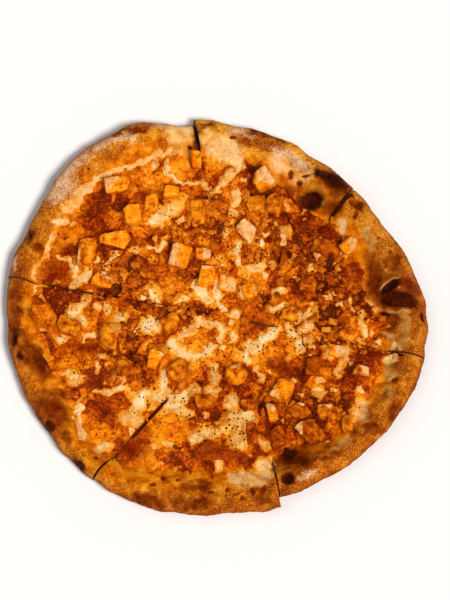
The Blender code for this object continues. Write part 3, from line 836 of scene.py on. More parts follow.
# %% Baked dough
def baked_dough():
    """Hand-stretched dough baked on stone: matt and speckled, so the eye takes it for dry bread."""
    constants = {"IOR": 1.45, "Specular Tint": linear("#F09848"), "Specular IOR Level": 0.12}
    material, tree, shader = material_with("baked_dough_with_flour", constants)
    speckle = noise_of(tree, 1.3, 4.0, 0.75)
    cloud = noise_of(tree, 10.0, 4.0, 0.6)
    fine = noise_of(tree, 0.7, 2.0)
    mottle = blend_of(tree, (speckle, 0.6), (cloud, 0.4))
    soft = blend_of(tree, (speckle, 0.25), (cloud, 0.75))
    grilled = blend_of(tree, (speckle, 0.45), (cloud, 0.55))
    golden = spread(tree, mottle, "#8E3E02 #BE6604 #E08C10 #F3A834 #FBC266", 0.115)
    rim_darkness_colours = spread(tree, mottle, "#5A1A02 #863002 #AA5004 #CA720A #E89828", 0.115)
    floury = spread(tree, mottle, "#985828 #B87A48 #D09A6C #E2B48C #F2CCA8", 0.10)
    oily = spread(tree, soft, "#983802 #CA6204 #EC8A0C #FAA82C", 0.15)
    brown = spread(tree, grilled, "#3E1002 #6C2604 #924008 #B25E12", 0.14)
    buttered_and_lit = spread(tree, soft, "#D4821C #ECA03E #F8BE74 #FEDAA6", 0.16)
    dull = spread(tree, soft, "#84500E #AE7228 #CA9046 #DEAC68", 0.16)
    cream = spread(tree, mottle, "#D08A3A #F0B870 #F8D09A", 0.12)
    pitted = spread(tree, grilled, "#481202 #7A2804 #A24A0A", 0.14)
    char = spread(tree, mottle, "#120401 #280A02 #451404 #6E2806", 0.14)
    rim_darkness_layer = ("toast", cloud, 0.0, 1.0, 0.8, rim_darkness_colours)
    skin = laid_over(tree, golden, rim_darkness_layer, ("flour", speckle, 0.1, 1.0, 0.9, floury))
    skin = mix(tree, fitted(tree, fine, 0.58, 0.72, 0.0, 0.6), skin, "#F4B664")
    # The brown and char layers also paint shade, in the cuts and around the big bubble, and the butter
    # layer paints a few highlights.
    skin = laid_over(
        tree,
        skin,
        ("stain", cloud, 0.1, 0.9, 0.6, oily),
        ("brown", speckle, 0.1, 0.75, 0.6, brown),
        ("butter", cloud, 0.0, 0.8, 0.35, buttered_and_lit),
        ("dull", cloud, 0.0, 1.3, 0.4, dull),
        ("cheese", speckle, 0.2, 0.8, 0.4, cream),
        ("spot", speckle, 0.25, 0.85, 0.4, pitted),
        ("char", speckle, 0.1, 1.0, 0.6, char),
    )
    roughness = fitted(tree, speckle, 0, 1, 0.62, 0.9)
    finish_shader(tree, shader, skin, roughness, (speckle, 0.5, 0.7), (fine, 0.3, 0.4))
    return material


DOUGH_FINISH = baked_dough()
print("made", DOUGH_FINISH.name)

# %% [markdown]
# ## The crumb where the cutter went through
# A roller cutter opens the dough's inside, which the crust hides everywhere else. It is soft
# and full of small holes, and only a strip of it shows in each cut. The crumb is pale, but it
# is painted dark brown: painted shade, for the deep, narrow cut that it lies in.


# %% The dough's inside
def shaded_cut_crumb():
    """Soft dough, steamed inside its crust and then cut: matt, with holes that look darker, all painted
    dark brown as shade for the narrow cut.
    """
    material, tree, shader = material_with("dough_crumb_with_small_holes", {"Roughness": 0.85})
    holes = noise_of(tree, 1.8, 3.0)
    tone = ramp(tree, holes, (0.34, "#3A1806"), (0.48, "#6E3C14"), (0.66, "#A87038"))
    finish_shader(tree, shader, tone, None, (holes, 0.6, 1.0))
    return material


SHADED_CUT_CRUMB = shaded_cut_crumb()
print("made", SHADED_CUT_CRUMB.name)

# %% [markdown]
# ## One slice of dough
# A slice is a section of dough carried round the hub. We start from a grid: across it runs the
# share of the slice, and along it the path of the section, from the tip, out along the
# underside, round the bulge of the rim, down its inner slope and back to the tip. The two open
# sides are where the cutter went, and each is closed by one face.

# %% The six slices of dough
RIM_STEP = 0.8  # millimetres between points on the rim, about a pixel of the picture
UNDER_ROWS = (0.012, 0.2, 0.4, 0.6, 0.8, 0.95)
FLAT_ROWS = (0.985, 0.96, 0.9, 0.8, 0.6, 0.4, 0.2, 0.012)
BULGE_ROWS = 40
SLOPE_ROWS = 48
CUT_CLOSED = 0.95  # how far a cut stays closed near the underside
RIM_PARTING = (4.0, 13.0)  # and the heights between which it opens towards the rim's top
# How much darker the rim is painted, from 0 to 1, round from the right of the picture by way of its top.
RIM_DARKNESS_ROUND = (0.90, 0.50, 0.0, 0.42, 0.98, 0.70, 0.92, 0.95, 0.90)


def section_rows():
    """For each row of the grid: which part of the path it is on, and how far along."""
    rows = [("under", k) for k in UNDER_ROWS]
    rows += [("bulge", -90 + 180 * i / BULGE_ROWS) for i in range(BULGE_ROWS + 1)]
    rows += [("slope", i / SLOPE_ROWS) for i in range(1, SLOPE_ROWS + 1)]
    rows += [("flat", k) for k in FLAT_ROWS]
    return rows


def small_blisters(x, y):
    """Fine unevenness of the rim's skin: bubbles of 3 to 8 mm and puckers between them."""
    bubbles = np.clip(grain(x, y, 7.5, 41) - 0.25, 0, None) * 1.5
    bubbles = bubbles + np.clip(grain(x, y, 3.6, 42) - 0.35, 0, None) * 0.9
    return bubbles + 0.30 * grain(x, y, 5.0, 43) + 0.16 * grain(x, y, 1.9, 44)


def rim_darkness_round(x, y):
    """How much darker the rim is painted: least at the top of the picture, most at the left."""
    around = between(RIM_DARKNESS_ROUND, np.degrees(np.arctan2(y, x)) % 360 / 360)
    return np.clip(around + 0.22 * rough(x, y, 22, 53), 0, 1)


BUBBLE_LIFT = 13.0  # the bubble's top above the topping, in millimetres
LIP_HEIGHT = 1.4
HOLLOW_DEPTH = 4.0
PIT_DEPTH = 0.9
# The big bubble's raised lips; the short last one is a painted highlight, and all lips are painted
# lighter, partly as a highlight.
BUBBLE_LIPS = (
    (6.0, ((366, 297), (372, 300))), (3.6, ((372, 300), (380, 304.5), (388, 308))),
    (2.2, ((388, 308), (397, 310), (408, 308.5))),
    (1.8, ((380, 287), (385, 282), (392, 278.5), (401, 277.5))), (2.6, ((397.5, 287.5), (400, 286))),
)
BUBBLE_HOLLOWS = (
    (390, 285, 21, 10, 32), (400, 298, 38, 15, -8), (312, 196, 24, 19), (287, 475, 14, 13),
)
BUBBLE_SHELL = (399, 292, 42, 31, -6)


def burst_bubble(x, y):
    """The bubbles that burst and burnt: the largest one's lips, all hollows, and its shell."""
    x = x + 0.6 * grain(x, y, 5, 47)
    lips = np.zeros(np.shape(x))
    for wide, points in BUBBLE_LIPS:
        lips = np.maximum(lips, streak(x, y, wide, points, BUBBLE_LIFT, 0.7))
    hollow = np.zeros(np.shape(x))
    for mark in BUBBLE_HOLLOWS:
        hollow = np.maximum(hollow, patch(x, y, mark, BUBBLE_LIFT, 0.35))
    return lips, hollow * (1 - lips), patch(x, y, BUBBLE_SHELL, BUBBLE_LIFT, 0.3) * (1 - lips)


def bubble_relief(x, y):
    lips, hollow, shell = burst_bubble(x, y)
    crumpled = shell * (0.5 + 0.9 * grain(x, y, 3.4, 48))
    return LIP_HEIGHT * lips - HOLLOW_DEPTH * hollow + crumpled


def rim_finish(x, y, kind, along, rim, radius):
    """How floury, brown, charred, oily or cheesy each point of the dough is, and where shade and
    highlights are painted on it.
    """
    fading = smooth_step(-45, 5, along + 22 * grain(x, y, 5, 54))
    upper = np.where(kind == "bulge", fading, (kind == "slope") | (kind == "flat"))
    side = np.where(kind == "bulge", smooth_step(80, -20, along), 0.0)
    under = np.where(kind == "under", 0.55 + 0.4 * rough(x, y, 14, 52), 0)
    slope = smooth_step(0.20, 0.58, fall_at(rim, radius) + 0.18 * rough(x, y, 9, 51))
    oiled = np.maximum(0.85 * slope, 0.8 * marked(x, y, (), OILY_STREAKS, 4.0, 2.5))
    lips, hollow, shell = burst_bubble(x, y)
    burnt = np.maximum(hollow * (1.2 + 0.3 * grain(x, y, 3.0, 49)), 0.8 * (kind == "flat"))
    # Browned crust and the burst bubble's shell, with painted shade around the big bubble and beside a
    # cut.
    scorched_and_shaded = np.maximum(marked(x, y, BROWN, (), RIM_LIFT, 2.0, 0.8), shell)
    golden = 1.1 * marked(x, y, (), GOLDEN_STREAKS, RIM_LIFT, 2.5)
    # Buttery crust, and painted highlights on the left ridge and on the big bubble's lips.
    buttered_and_lit = marked(x, y, BUTTERY, BUTTER_AND_HIGHLIGHT_STREAKS, 5.0, 2.2, 0.8)
    return {
        "flour": upper * marked(x, y, FLOUR, FLOUR_STREAKS, RIM_LIFT, 2.2),
        "brown": np.maximum(upper * scorched_and_shaded, 0.6 * side + under),
        # Char, and painted shade in the cuts and under the big bubble's lower lip.
        "char": upper * np.maximum(marked(x, y, CHAR_AND_SHADE, CUT_SHADOW_STREAKS, RIM_LIFT, 1.6), burnt),
        "spot": upper * marked(x, y, SPOTS, (), RIM_LIFT - 3, 0.6),
        "stain": upper * oiled,
        "dull": upper * marked(x, y, (), DULL_STREAKS, 5.0, 2.2),
        "toast": np.maximum(rim_darkness_round(x, y), golden),
        "cheese": marked(x, y, CHEESE, CHEESE_STRINGS, 4.0) * (kind == "slope"),
        "butter": upper * np.maximum(buttered_and_lit, 0.42 * lips),
    }


def share_columns(number, step):
    """How many columns a slice needs for this many millimetres between points at its rim."""
    following = SLICES[(number + 1) % SLICE_COUNT]["bearing"]
    span = math.radians((following - SLICES[number]["bearing"]) % 360)
    return int(max(SLICES[number]["reach"]) * span / step)


def grid_mesh(name, columns, rows):
    """A grid as a mesh, with the column and the row of each of its points."""
    bm = grid_of(columns, rows)
    mesh = bpy.data.meshes.new(name)
    bm.to_mesh(mesh)
    bm.free()
    flat = coordinates(mesh)
    column = np.rint((flat[:, 0] + 1) / 2 * columns).astype(int)
    row = np.rint((flat[:, 1] + 1) / 2 * rows).astype(int)
    return mesh, column, row


def shape_dough(number):
    rows = section_rows()
    columns = share_columns(number, RIM_STEP)
    mesh, column, row = grid_mesh(f"crust_{number + 1}", columns, len(rows) - 1)
    share = column / columns
    rim = [fact[column] for fact in rim_at(number, np.arange(columns + 1) / columns)]
    reach, width, height = rim
    kind = np.array([name for name, _ in rows])[row]
    along = np.array([value for _, value in rows])[row]
    bulge = CROWN_IN * width
    turn = np.radians(np.where(kind == "bulge", along, 0))
    radius = np.where(kind == "under", (reach - bulge) * along, (reach - width) * along)
    radius = np.where(kind == "bulge", reach - bulge * (1 - np.cos(turn)), radius)
    slope = reach - width * (CROWN_IN + (1 - CROWN_IN) * along)
    radius = np.where(kind == "slope", slope, radius)
    lifted = np.where(kind == "bulge", (1 + np.sin(turn)) / 2, 1.0)
    z = np.where(kind == "slope", slope_height(height, along), BASE_THICK)
    z = np.where(kind == "bulge", height * lifted, z)
    bearing = bearing_at(number, share, radius, CUT_CLOSED * (1 - smooth_step(*RIM_PARTING, z)))
    x, y = at_bearing(radius, bearing)
    on_rim = (kind == "bulge") | (kind == "slope")
    fading = np.where(kind == "slope", 1 - smooth_step(0.55, 0.8, along), lifted)
    finish = rim_finish(x, y, kind, along, rim, radius)
    fine = small_blisters(x, y) + bubble_relief(x, y) - PIT_DEPTH * finish["spot"]
    z = np.where(on_rim, with_skin(x, y, z, lifted) + fine * fading, z)
    z = np.where(kind == "under", 0.0, z)
    for name, values in finish.items():
        set_value(mesh, name, values)
    dents = 0.35 * grain(bearing * 150, z, 3.2, 45) * (1 - lifted**4) - 0.45
    out = np.where(kind == "bulge", dents, 0)
    x, y = x + out * np.cos(bearing), y + out * np.sin(bearing)
    set_coordinates(mesh, in_frame(x, y, np.maximum(z, 0)))
    return mesh, columns


def drawn_together(bm, points):
    """Merges points at their middle."""
    middle = sum((point.co for point in points), Vector()) / len(points)
    bmesh.ops.pointmerge(bm, verts=points, merge_co=middle)


def crisp_boundary(bm):
    """The mesh's open edges, marked so that the shading breaks there."""
    found = [e for e in bm.edges if e.is_boundary]
    for e in found:
        e.smooth = False
    return found


def close_dough(mesh, columns):
    """Draws both ends of the section together at the tip and closes the two cut sides."""
    bm = bmesh.new()
    bm.from_mesh(mesh)
    bm.verts.ensure_lookup_table()
    for end in (bm.verts[: columns + 1], bm.verts[-columns - 1 :]):
        drawn_together(bm, end)
    open_edges = crisp_boundary(bm)
    tips = [v for v in bm.verts if sum(e.is_boundary for e in v.link_edges) == 2]
    low, high = sorted(tips, key=lambda v: len(v.link_edges))[-2:]
    tip_edge = bmesh.ops.contextual_create(bm, geom=[low, high])["edges"][0]
    tip_edge.smooth = False
    made = bmesh.ops.holes_fill(bm, edges=open_edges + [tip_edge], sides=0)
    for face in made["faces"]:
        face.material_index = 1
    bmesh.ops.recalc_face_normals(bm, faces=bm.faces)
    bm.to_mesh(mesh)
    bm.free()


for number in range(SLICE_COUNT):
    mesh, columns = shape_dough(number)
    close_dough(mesh, columns)
    crust = show(mesh, f"crust_{number + 1}", DOUGH_FINISH, [f"dough_{number + 1}"])
    mesh.materials.append(SHADED_CUT_CRUMB)
    print(crust.name, "has", len(mesh.polygons), "faces")

# %% [markdown]
# ## Melted cheese and sauce
# Buffalo sauce is hot sauce with butter, so it is orange, oily and glossy, and dark red-brown
# where it pooled. Mozzarella melts to a cream-white skin that takes up some of the orange. Both
# are wet, which gives small sharp glints, and the baked, meaty parts between are duller.


# %% Sauce and cheese
OILY_GLINT = "#FFA850"  # light off oil takes up the sauce's orange


def sauce_and_cheese():
    """Cheese melted into buttery hot sauce: a wet, oily skin, whose beads give small glints."""
    constants = {"IOR": 1.42, "Specular Tint": linear(OILY_GLINT)}
    material, tree, shader = material_with("melted_cheese_in_hot_sauce", constants)
    cloud = noise_of(tree, 7.0, 4.0, 0.6)
    speckle = noise_of(tree, 1.8, 4.0, 0.7)
    fine = noise_of(tree, 0.8, 2.0)
    # The relief's height lightens the colour on the tops and darkens it in the hollows: painted shade in
    # the hollows.
    height = fitted(tree, stored(tree, "relief"), -1.6, 1.8)
    noises = ((cloud, 0.26), (speckle, 0.36), (height, 0.26))
    # The topping is painted darker in the darker patches.
    mottle = blend_of(tree, *noises, (stored(tree, "tone"), 0.12), (stored(tree, "darker_patch"), -0.092))
    sauce = spread(tree, mottle, "#641602 #962C02 #BC4C03 #DC6C06 #F28A10 #F8A22C #FAB854", 0.14)
    meat = spread(
        tree, mottle, "#4E1402 #822B03 #A63E03 #C65A04 #E0760A #F29424 #F8B458", 0.145, 0.51
    )
    oily = spread(tree, mottle, "#943602 #C25C04 #E27E0A #F09C24", 0.15)
    bright = spread(tree, mottle, "#D45C04 #F08408 #FC9C18 #FFB43C", 0.13)
    dark = spread(tree, mottle, "#5E1002 #7A1A02 #942A02 #B84806", 0.15, 0.51)
    halo = spread(tree, mottle, "#CE6A0C #EC9420 #F8B040 #FBC468", 0.15)
    cream = spread(tree, mottle, "#CE7A18 #E8A24C #F6C07A #FBD49C #FFE6BE", 0.14, 0.49)
    skin = laid_over(
        tree,
        sauce,
        ("meaty", cloud, 0.2, 0.8, 0.5, meat),
        ("thin", speckle, 0.2, 0.8, 0.5, oily),
        ("bright", speckle, 0.2, 0.8, 0.5, bright),
        ("pool", cloud, 0.0, 1.0, 0.4, dark),
    )
    # Painted shade: dark red-brown in the ring beside each large piece of chicken, where sauce also
    # pools, and along the open cuts.
    shade = ramp(tree, stored(tree, "beside"), (0.40, "#000000"), (1.0, "#949494"))
    skin = mix(tree, shade, skin, "#6A1E02")
    melted = ("cheese", cloud, 0.08, 0.42, 0.5, halo)
    skin = laid_over(tree, skin, melted, ("cheese", speckle, 0.42, 0.84, 0.5, cream))
    beads = fitted(tree, fine, 0.54, 0.66, 0.0, 0.9)
    wet = fitted(tree, stored(tree, "pool"), 0, 1, 0.34, 0.12)
    gloss = mix(tree, beads, wet, (0.1, 0.1, 0.1, 1.0))
    finish_shader(tree, shader, skin, gloss, (speckle, 0.5, 1.0), (fine, 0.5, 0.4))
    tree.links.new(fitted(tree, beads, 0, 1, 0.25, 0.9), shader.inputs["Specular IOR Level"])
    return material


SAUCE_FINISH = sauce_and_cheese()
print("made", SAUCE_FINISH.name)

# %% [markdown]
# ## One bed of sauce and cheese
# The bed is a grid as well: the share of the slice across it, and the way from the tip to the
# bed's edge on the rim's slope along it. Its edge there is uneven and sinks into the dough, and
# at the cuts the cheese bulges into the gap here and there. The open boundary is extruded down
# into the dough and capped, which closes the bed.

# %% The topping of each slice
BED_STEP = 0.66  # millimetres between points, a little under a pixel of the picture
BED_FLOOR = 4.0
TIP_RADIUS = 1.0
THIN_WIDTH = 11.0  # the oily margin where the bed thins out on the slope
SIDE_DROP = 1.1  # how far the bed sinks at an open cut
SIDE_WIDTH = 1.6  # and how far from the cut that starts
ROWS_TO_COLUMNS = 0.9


def shape_bed(number):
    columns = share_columns(number, BED_STEP)
    rows = int(columns * ROWS_TO_COLUMNS)
    mesh, column, row = grid_mesh(f"bed_{number + 1}", columns, rows)
    shares = np.arange(columns + 1) / columns
    rim_line = rim_at(number, shares)
    reach, width, _ = rim_line
    wavy = rough(*at_bearing(reach, bearing_at(number, shares, reach)), 12, 61)
    ends = np.clip(LAYER_ENDS - 0.04 + 0.15 * wavy, 0.3, 0.85)
    edge_radius = reach - width * (CROWN_IN + (1 - CROWN_IN) * ends)
    rim = [fact[column] for fact in rim_line]
    along = row / rows
    radius = TIP_RADIUS + (edge_radius[column] - TIP_RADIUS) * along
    share = column / columns
    bearing = bearing_at(number, share, radius)
    x, y = at_bearing(radius, bearing)
    opened = marked(x, y, (), OPEN_CUTS, waver=0.8)
    own_side = np.where(share < 0.5, 0.0, 90.0)
    closing = np.clip(1.0 + 0.6 * grain(radius, own_side, 13.0, 62), 0.5, 1.3)
    closing = closing - (closing + 0.7) * opened
    bearing = bearing_at(number, share, radius, closing)
    x, y = at_bearing(radius, bearing)
    finish = finish_at(x, y)
    z = topping_height(x, y, rim, radius, finish, ends[column])
    at_side = np.minimum(share, 1 - share) * np.maximum(radius, 5) * 1.05
    beside_cut = 1 - smooth_step(0.0, SIDE_WIDTH, at_side)
    z = z - SIDE_DROP * beside_cut * np.clip(1.2 - closing, 0, 1)
    set_coordinates(mesh, in_frame(x, y, z))
    # Painted shade along the edges of the open cuts.
    finish["beside"] = np.maximum(finish["beside"], opened * (1 - smooth_step(0.3, 1.3, at_side)))
    inward = edge_radius[column] - radius + 4.5 * rough(x, y, 9, 63)
    finish["thin"] = 1 - smooth_step(0.0, THIN_WIDTH, inward)
    for name, values in finish.items():
        set_value(mesh, name, values)
    return mesh, columns


def close_bed(mesh, columns):
    """Draws the tip together and closes the bed below."""
    bm = bmesh.new()
    bm.from_mesh(mesh)
    bm.verts.ensure_lookup_table()
    drawn_together(bm, bm.verts[: columns + 1])
    made = bmesh.ops.extrude_edge_only(bm, edges=crisp_boundary(bm))
    for v in made["geom"]:
        if isinstance(v, bmesh.types.BMVert):
            v.co.z = BED_FLOOR * MM
    bmesh.ops.holes_fill(bm, edges=[e for e in bm.edges if e.is_boundary], sides=0)
    bmesh.ops.recalc_face_normals(bm, faces=bm.faces)
    bm.to_mesh(mesh)
    bm.free()


for number in range(SLICE_COUNT):
    mesh, columns = shape_bed(number)
    close_bed(mesh, columns)
    bed = show(mesh, f"bed_{number + 1}", SAUCE_FINISH, [f"topping_{number + 1}"])
    print(bed.name, "has", len(mesh.polygons), "faces")

# %% [markdown]
# ## Chicken: fried, chopped and tossed in the sauce
# Each larger piece is a solid already, with its own place and lean. A knife leaves flat faces
# and slanting corners, so we slice some corners and upper edges off a copy of the solid, bevel
# what is left a little, and divide it finely enough for meat fibres and crags. Some
# faces were cut after frying and stayed pale, so each piece has a look: how orange it is, how
# much of it is pale, and on which side, as a bearing in the picture.

# %% The looks of the pieces: orange tone, pale share, bearing of the pale side
LOOKS = (
    (0.80, 0.45, 135), (0.95, 0.00, 0), (0.92, 0.00, 0), (0.58, 0.10, 180), (0.70, 0.00, 0),
    (0.95, 0.00, 0), (0.83, 0.00, 0), (0.78, 0.15, 60), (0.78, 0.40, 180), (0.88, 0.55, 0),
    (0.95, 0.20, 90), (0.56, 0.00, 0), (0.82, 0.55, 0), (0.80, 0.60, 60), (0.42, 0.00, 0),
    (0.95, 0.95, 0), (0.20, 0.45, 0), (0.52, 0.00, 0), (0.20, 0.00, 45), (0.95, 0.15, 0),
    (0.36, 0.00, 0), (0.82, 0.50, 0), (0.14, 0.00, 0), (0.55, 0.05, 0), (0.55, 0.65, 0),
    (0.44, 0.00, 0), (0.30, 0.00, 0), (0.42, 0.60, 0), (0.72, 0.58, 0), (0.75, 0.25, 180),
    (0.28, 0.10, 90), (0.22, 0.20, 180), (0.32, 0.20, 90), (0.56, 0.00, 0), (0.75, 0.45, 90),
    (0.12, 0.00, 0), (0.16, 0.00, 0), (0.56, 0.20, 90), (0.28, 0.00, 0), (0.00, 0.00, -45),
    (0.15, 0.00, 0), (0.20, 0.00, 0), (0.50, 0.00, 0), (0.50, 0.18, 180), (0.92, 0.15, 0),
    (0.46, 0.00, 0), (0.36, 0.00, 0), (0.54, 0.00, 0),
)


def fried_chicken():
    """Chicken fried and tossed in sauce: a damp, craggy crust, and fibres where it was cut."""
    constants = {"IOR": 1.45, "Specular IOR Level": 0.3, "Specular Tint": linear(OILY_GLINT)}
    material, tree, shader = material_with("fried_chicken_in_hot_sauce", constants)
    cloud = noise_of(tree, 5.0, 3.0)
    speckle = noise_of(tree, 1.5, 4.0, 0.7)
    fibres = fibres_of(tree, 1.6, 5.0)
    mottle = blend_of(tree, (cloud, 0.48), (speckle, 0.32), (fibres, 0.20))
    dark = spread(tree, mottle, "#4E1402 #882B02 #B44803 #D46A0C", 0.14)
    warm = spread(tree, mottle, "#A43A02 #DC6404 #FC8A08 #FFA018 #FFB434", 0.12, 0.49)
    flesh = spread(tree, mottle, "#B05C10 #D88A38 #ECA862 #F4BC7C #F8CA94", 0.13, 0.48)
    crust = ("tone", cloud, 0.1, 0.9, 0.5, warm)
    skin = laid_over(tree, dark, crust, ("pale", speckle, 0.3, 0.7, 0.4, flesh))
    damp = fitted(tree, speckle, 0, 1, 0.32, 0.6)
    finish_shader(tree, shader, skin, damp, (speckle, 0.4, 0.8), (fibres, 0.35, 0.8))
    return material


CHICKEN_FINISH = fried_chicken()
print("made", CHICKEN_FINISH.name, "for", len(LOOKS), "pieces")


# %% The larger pieces of chicken
CORNER_CUTS = 2
UPPER_CUTS = 3
MEAT_STEP = 1.2 * MM
SOFTENED = 0.4 * MM  # how far the knife's edges are bevelled
FIBRE_TURN = 37  # degrees from one piece's fibres to the next piece's


def softened(bm, offset):
    """Bevels every edge by this much."""
    bmesh.ops.bevel(
        bm, geom=bm.edges, offset=offset, segments=1, profile=0.5, affect="EDGES", material=-1
    )


def sliced(bm, middle, way, share):
    """Slices off what lies beyond this share of the solid's reach in this direction."""
    reach = max((v.co - middle).dot(way) for v in bm.verts)
    geom = [*bm.verts, *bm.edges, *bm.faces]
    place = middle + way * (reach * share)
    bmesh.ops.bisect_plane(bm, geom=geom, plane_co=place, plane_no=way, clear_outer=True)


def hull_of(bm):
    """The hull of the mesh's points as a new mesh with flat faces."""
    hull = bmesh.new()
    for v in bm.verts:
        hull.verts.new(v.co)
    bmesh.ops.remove_doubles(hull, verts=hull.verts, dist=1e-5)
    made = bmesh.ops.convex_hull(hull, input=hull.verts)
    spare = {v for v in made["geom_interior"] + made["geom_unused"] if isinstance(v, bmesh.types.BMVert)}
    bmesh.ops.delete(hull, geom=list(spare), context="VERTS")
    bmesh.ops.dissolve_limit(hull, angle_limit=math.radians(3), verts=hull.verts, edges=hull.edges)
    bm.free()
    return hull


def chopped(name):
    """A copy of the solid with some of its corners and upper edges cut off."""
    draw = random.Random(name)
    bm = bmesh.new()
    bm.from_mesh(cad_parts[name].data)
    middle = sum((v.co for v in bm.verts), Vector()) / len(bm.verts)
    for _ in range(CORNER_CUTS):
        corner = max(bm.verts, key=lambda v: (v.co - middle).xy.length * draw.uniform(0.7, 1))
        away = (corner.co - middle) * Vector((1, 1, 0))
        sliced(bm, middle, away.normalized(), draw.uniform(0.55, 0.9))
    for step in range(UPPER_CUTS):
        turn = draw.uniform(0, 1.4) + step * math.tau / UPPER_CUTS
        way = Vector((math.cos(turn), math.sin(turn), draw.uniform(0.4, 3.0))).normalized()
        sliced(bm, middle, way, draw.uniform(0.78, 0.98))
    return hull_of(bm)


def divided(bm, longest):
    """Divides the mesh until no edge is much longer than this."""
    bmesh.ops.triangulate(bm, faces=bm.faces)
    for _ in range(5):
        long_edges = [e for e in bm.edges if e.calc_length() > longest]
        if not long_edges:
            break
        bmesh.ops.subdivide_edges(bm, edges=long_edges, cuts=1)
        bmesh.ops.triangulate(bm, faces=bm.faces, quad_method="SHORT_EDGE")
        bmesh.ops.beautify_fill(bm, faces=bm.faces, edges=bm.edges, use_restrict_tag=False, method="AREA")


def meat_finish(index, look, places, normals):
    """The relief of a piece in millimetres, and how orange and how pale each point is."""
    x, y, z = from_hub(places)
    fibre = math.radians(FIBRE_TURN * index)
    along = x * math.cos(fibre) + y * math.sin(fibre)
    across = y * math.cos(fibre) - x * math.sin(fibre)
    crags = 0.30 * grain(x + 0.7 * z, y - 0.5 * z, 3.4, 71) + 0.2 * grain(x - z, y + z, 1.7, 72)
    fibres = 0.25 * grain(along / 3.5 + 0.3 * z, across + 0.8 * z, 1.3, 73)
    tone, pale, turn = look
    turn = math.radians(turn)
    aside = (x - np.mean(x)) * math.cos(turn) + (y - np.mean(y)) * math.sin(turn)
    aside = aside / (np.ptp(aside) / 2)
    limit = 1 - 2 * pale
    paled = smooth_step(limit - 0.3, limit + 0.3, aside + 0.25 * grain(x, y, 4, 74)) * (pale > 0)
    upward = smooth_step(0.25, 0.8, normals[:, 2] + 0.15 * grain(x, y, 3, 76))
    paled = paled * np.maximum(upward, 0.15)
    # Each piece is darker towards its bottom.
    low = smooth_step(0.5, 0.0, (z - z.min()) / np.ptp(z))
    toned = np.clip(tone + 0.25 * grain(x, y, 5, 75) - 0.45 * low, 0, 1)
    return crags + fibres * (0.4 + paled), toned, paled


def make_chicken(index, name, look):
    bm = chopped(name)
    softened(bm, SOFTENED)
    divided(bm, MEAT_STEP)
    bmesh.ops.recalc_face_normals(bm, faces=bm.faces)
    if bm.calc_volume(signed=True) < 0:
        bmesh.ops.reverse_faces(bm, faces=bm.faces)
    bm.normal_update()
    normals = np.array([v.normal for v in bm.verts])
    mesh = bpy.data.meshes.new(f"{name}_meat")
    bm.to_mesh(mesh)
    bm.free()
    places = coordinates(mesh)
    relief, toned, paled = meat_finish(index, look, places, normals)
    set_coordinates(mesh, places + normals * (relief * MM)[:, None])
    set_value(mesh, "tone", toned)
    set_value(mesh, "pale", paled)
    set_value(mesh, "fibre", np.full(len(places), math.radians(FIBRE_TURN * index)))
    piece = show(mesh, f"{name}_meat", CHICKEN_FINISH, [name])
    mesh.set_sharp_from_angle(angle=math.radians(38))
    return piece


names = sorted(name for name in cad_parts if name.startswith("chicken"))
pieces = [make_chicken(i, name, LOOKS[i]) for i, name in enumerate(names)]
print("pieces of chicken:", len(pieces), "with", sum(len(p.data.polygons) for p in pieces), "faces")

# %% [markdown]
# ## Crumbs of chicken and cracked pepper
# The rest of the chicken is chopped so fine that the picture shows it as grains, mostly of two
# to six millimetres, pale or brown and half sunk in the sauce. Cracked black pepper lies over
# all of it. Each kind is one piece, made by copying a few shapes many times in arrays, because
# thousands of objects would be slow to handle.


# %% Shapes to copy, and the joining of many copies
def chopped_block(bm):
    bmesh.ops.create_cube(bm, size=1)
    softened(bm, 0.16)


def pepper_flake(bm):
    bmesh.ops.create_icosphere(bm, subdivisions=1, radius=0.5)


def shapes_to_copy(start, count, seed, least, most):
    """Some uneven versions of a starting shape, each as an array of points and one of faces."""
    draw = random.Random(seed)
    shapes = []
    for _ in range(count):
        bm = bmesh.new()
        start(bm)
        for v in bm.verts:
            v.co *= draw.uniform(least, most)
        bmesh.ops.triangulate(bm, faces=bm.faces)
        bm.verts.index_update()
        points = np.array([v.co for v in bm.verts])
        shapes.append((points, np.array([[v.index for v in f.verts] for f in bm.faces])))
        bm.free()
    return shapes


def turned(points, spin, lean, roll):
    """Points turned about z, then x and y, by these angles."""
    about = Euler((lean, roll, spin)).to_matrix()
    return points @ np.array(about).T


def joined(name, shapes, placings, material):
    """One mesh of many copies. A placing is which shape, its place, sizes, turns and tone."""
    all_points, all_faces, all_tones, count = [], [], [], 0
    for pick, place, size, turns, tone in placings:
        points, faces = shapes[pick]
        all_points.append(turned(points * np.array(size), *turns) + np.array(place))
        all_faces.append(faces + count)
        all_tones.append(np.full(len(points), tone))
        count += len(points)
    points = np.concatenate(all_points)
    mesh = bpy.data.meshes.new(name)
    mesh.from_pydata(in_frame(*points.T), [], np.concatenate(all_faces))
    set_value(mesh, "tone", np.concatenate(all_tones))
    mesh.validate()
    return show(mesh, name, material)


TOPPING_X, TOPPING_Y = (-165, 150), (-150, 165)  # how far it can reach from the hub


def scattered(count, seed, tries, wanted_at):
    """The source of random numbers, and the x, y, z and darkness of the places that it chose."""
    draw = np.random.default_rng(seed)
    x, y = draw.uniform(*TOPPING_X, tries), draw.uniform(*TOPPING_Y, tries)
    number, share, radius = locate(x, y)
    rim, finish = rims_at(number, share), finish_at(x, y)
    z = topping_height(x, y, rim, radius, finish, LAYER_ENDS)
    wanted = wanted_at(x, y, fall_at(rim, radius), finish)
    kept = np.flatnonzero(draw.uniform(0, 1, tries) < wanted)[:count]
    return draw, np.stack((x, y, z, finish["darker_patch"]), axis=1)[kept]


one_block = shapes_to_copy(chopped_block, 1, seed=0, least=1, most=1)[0]
print("faces in one crumb:", len(one_block[1]))


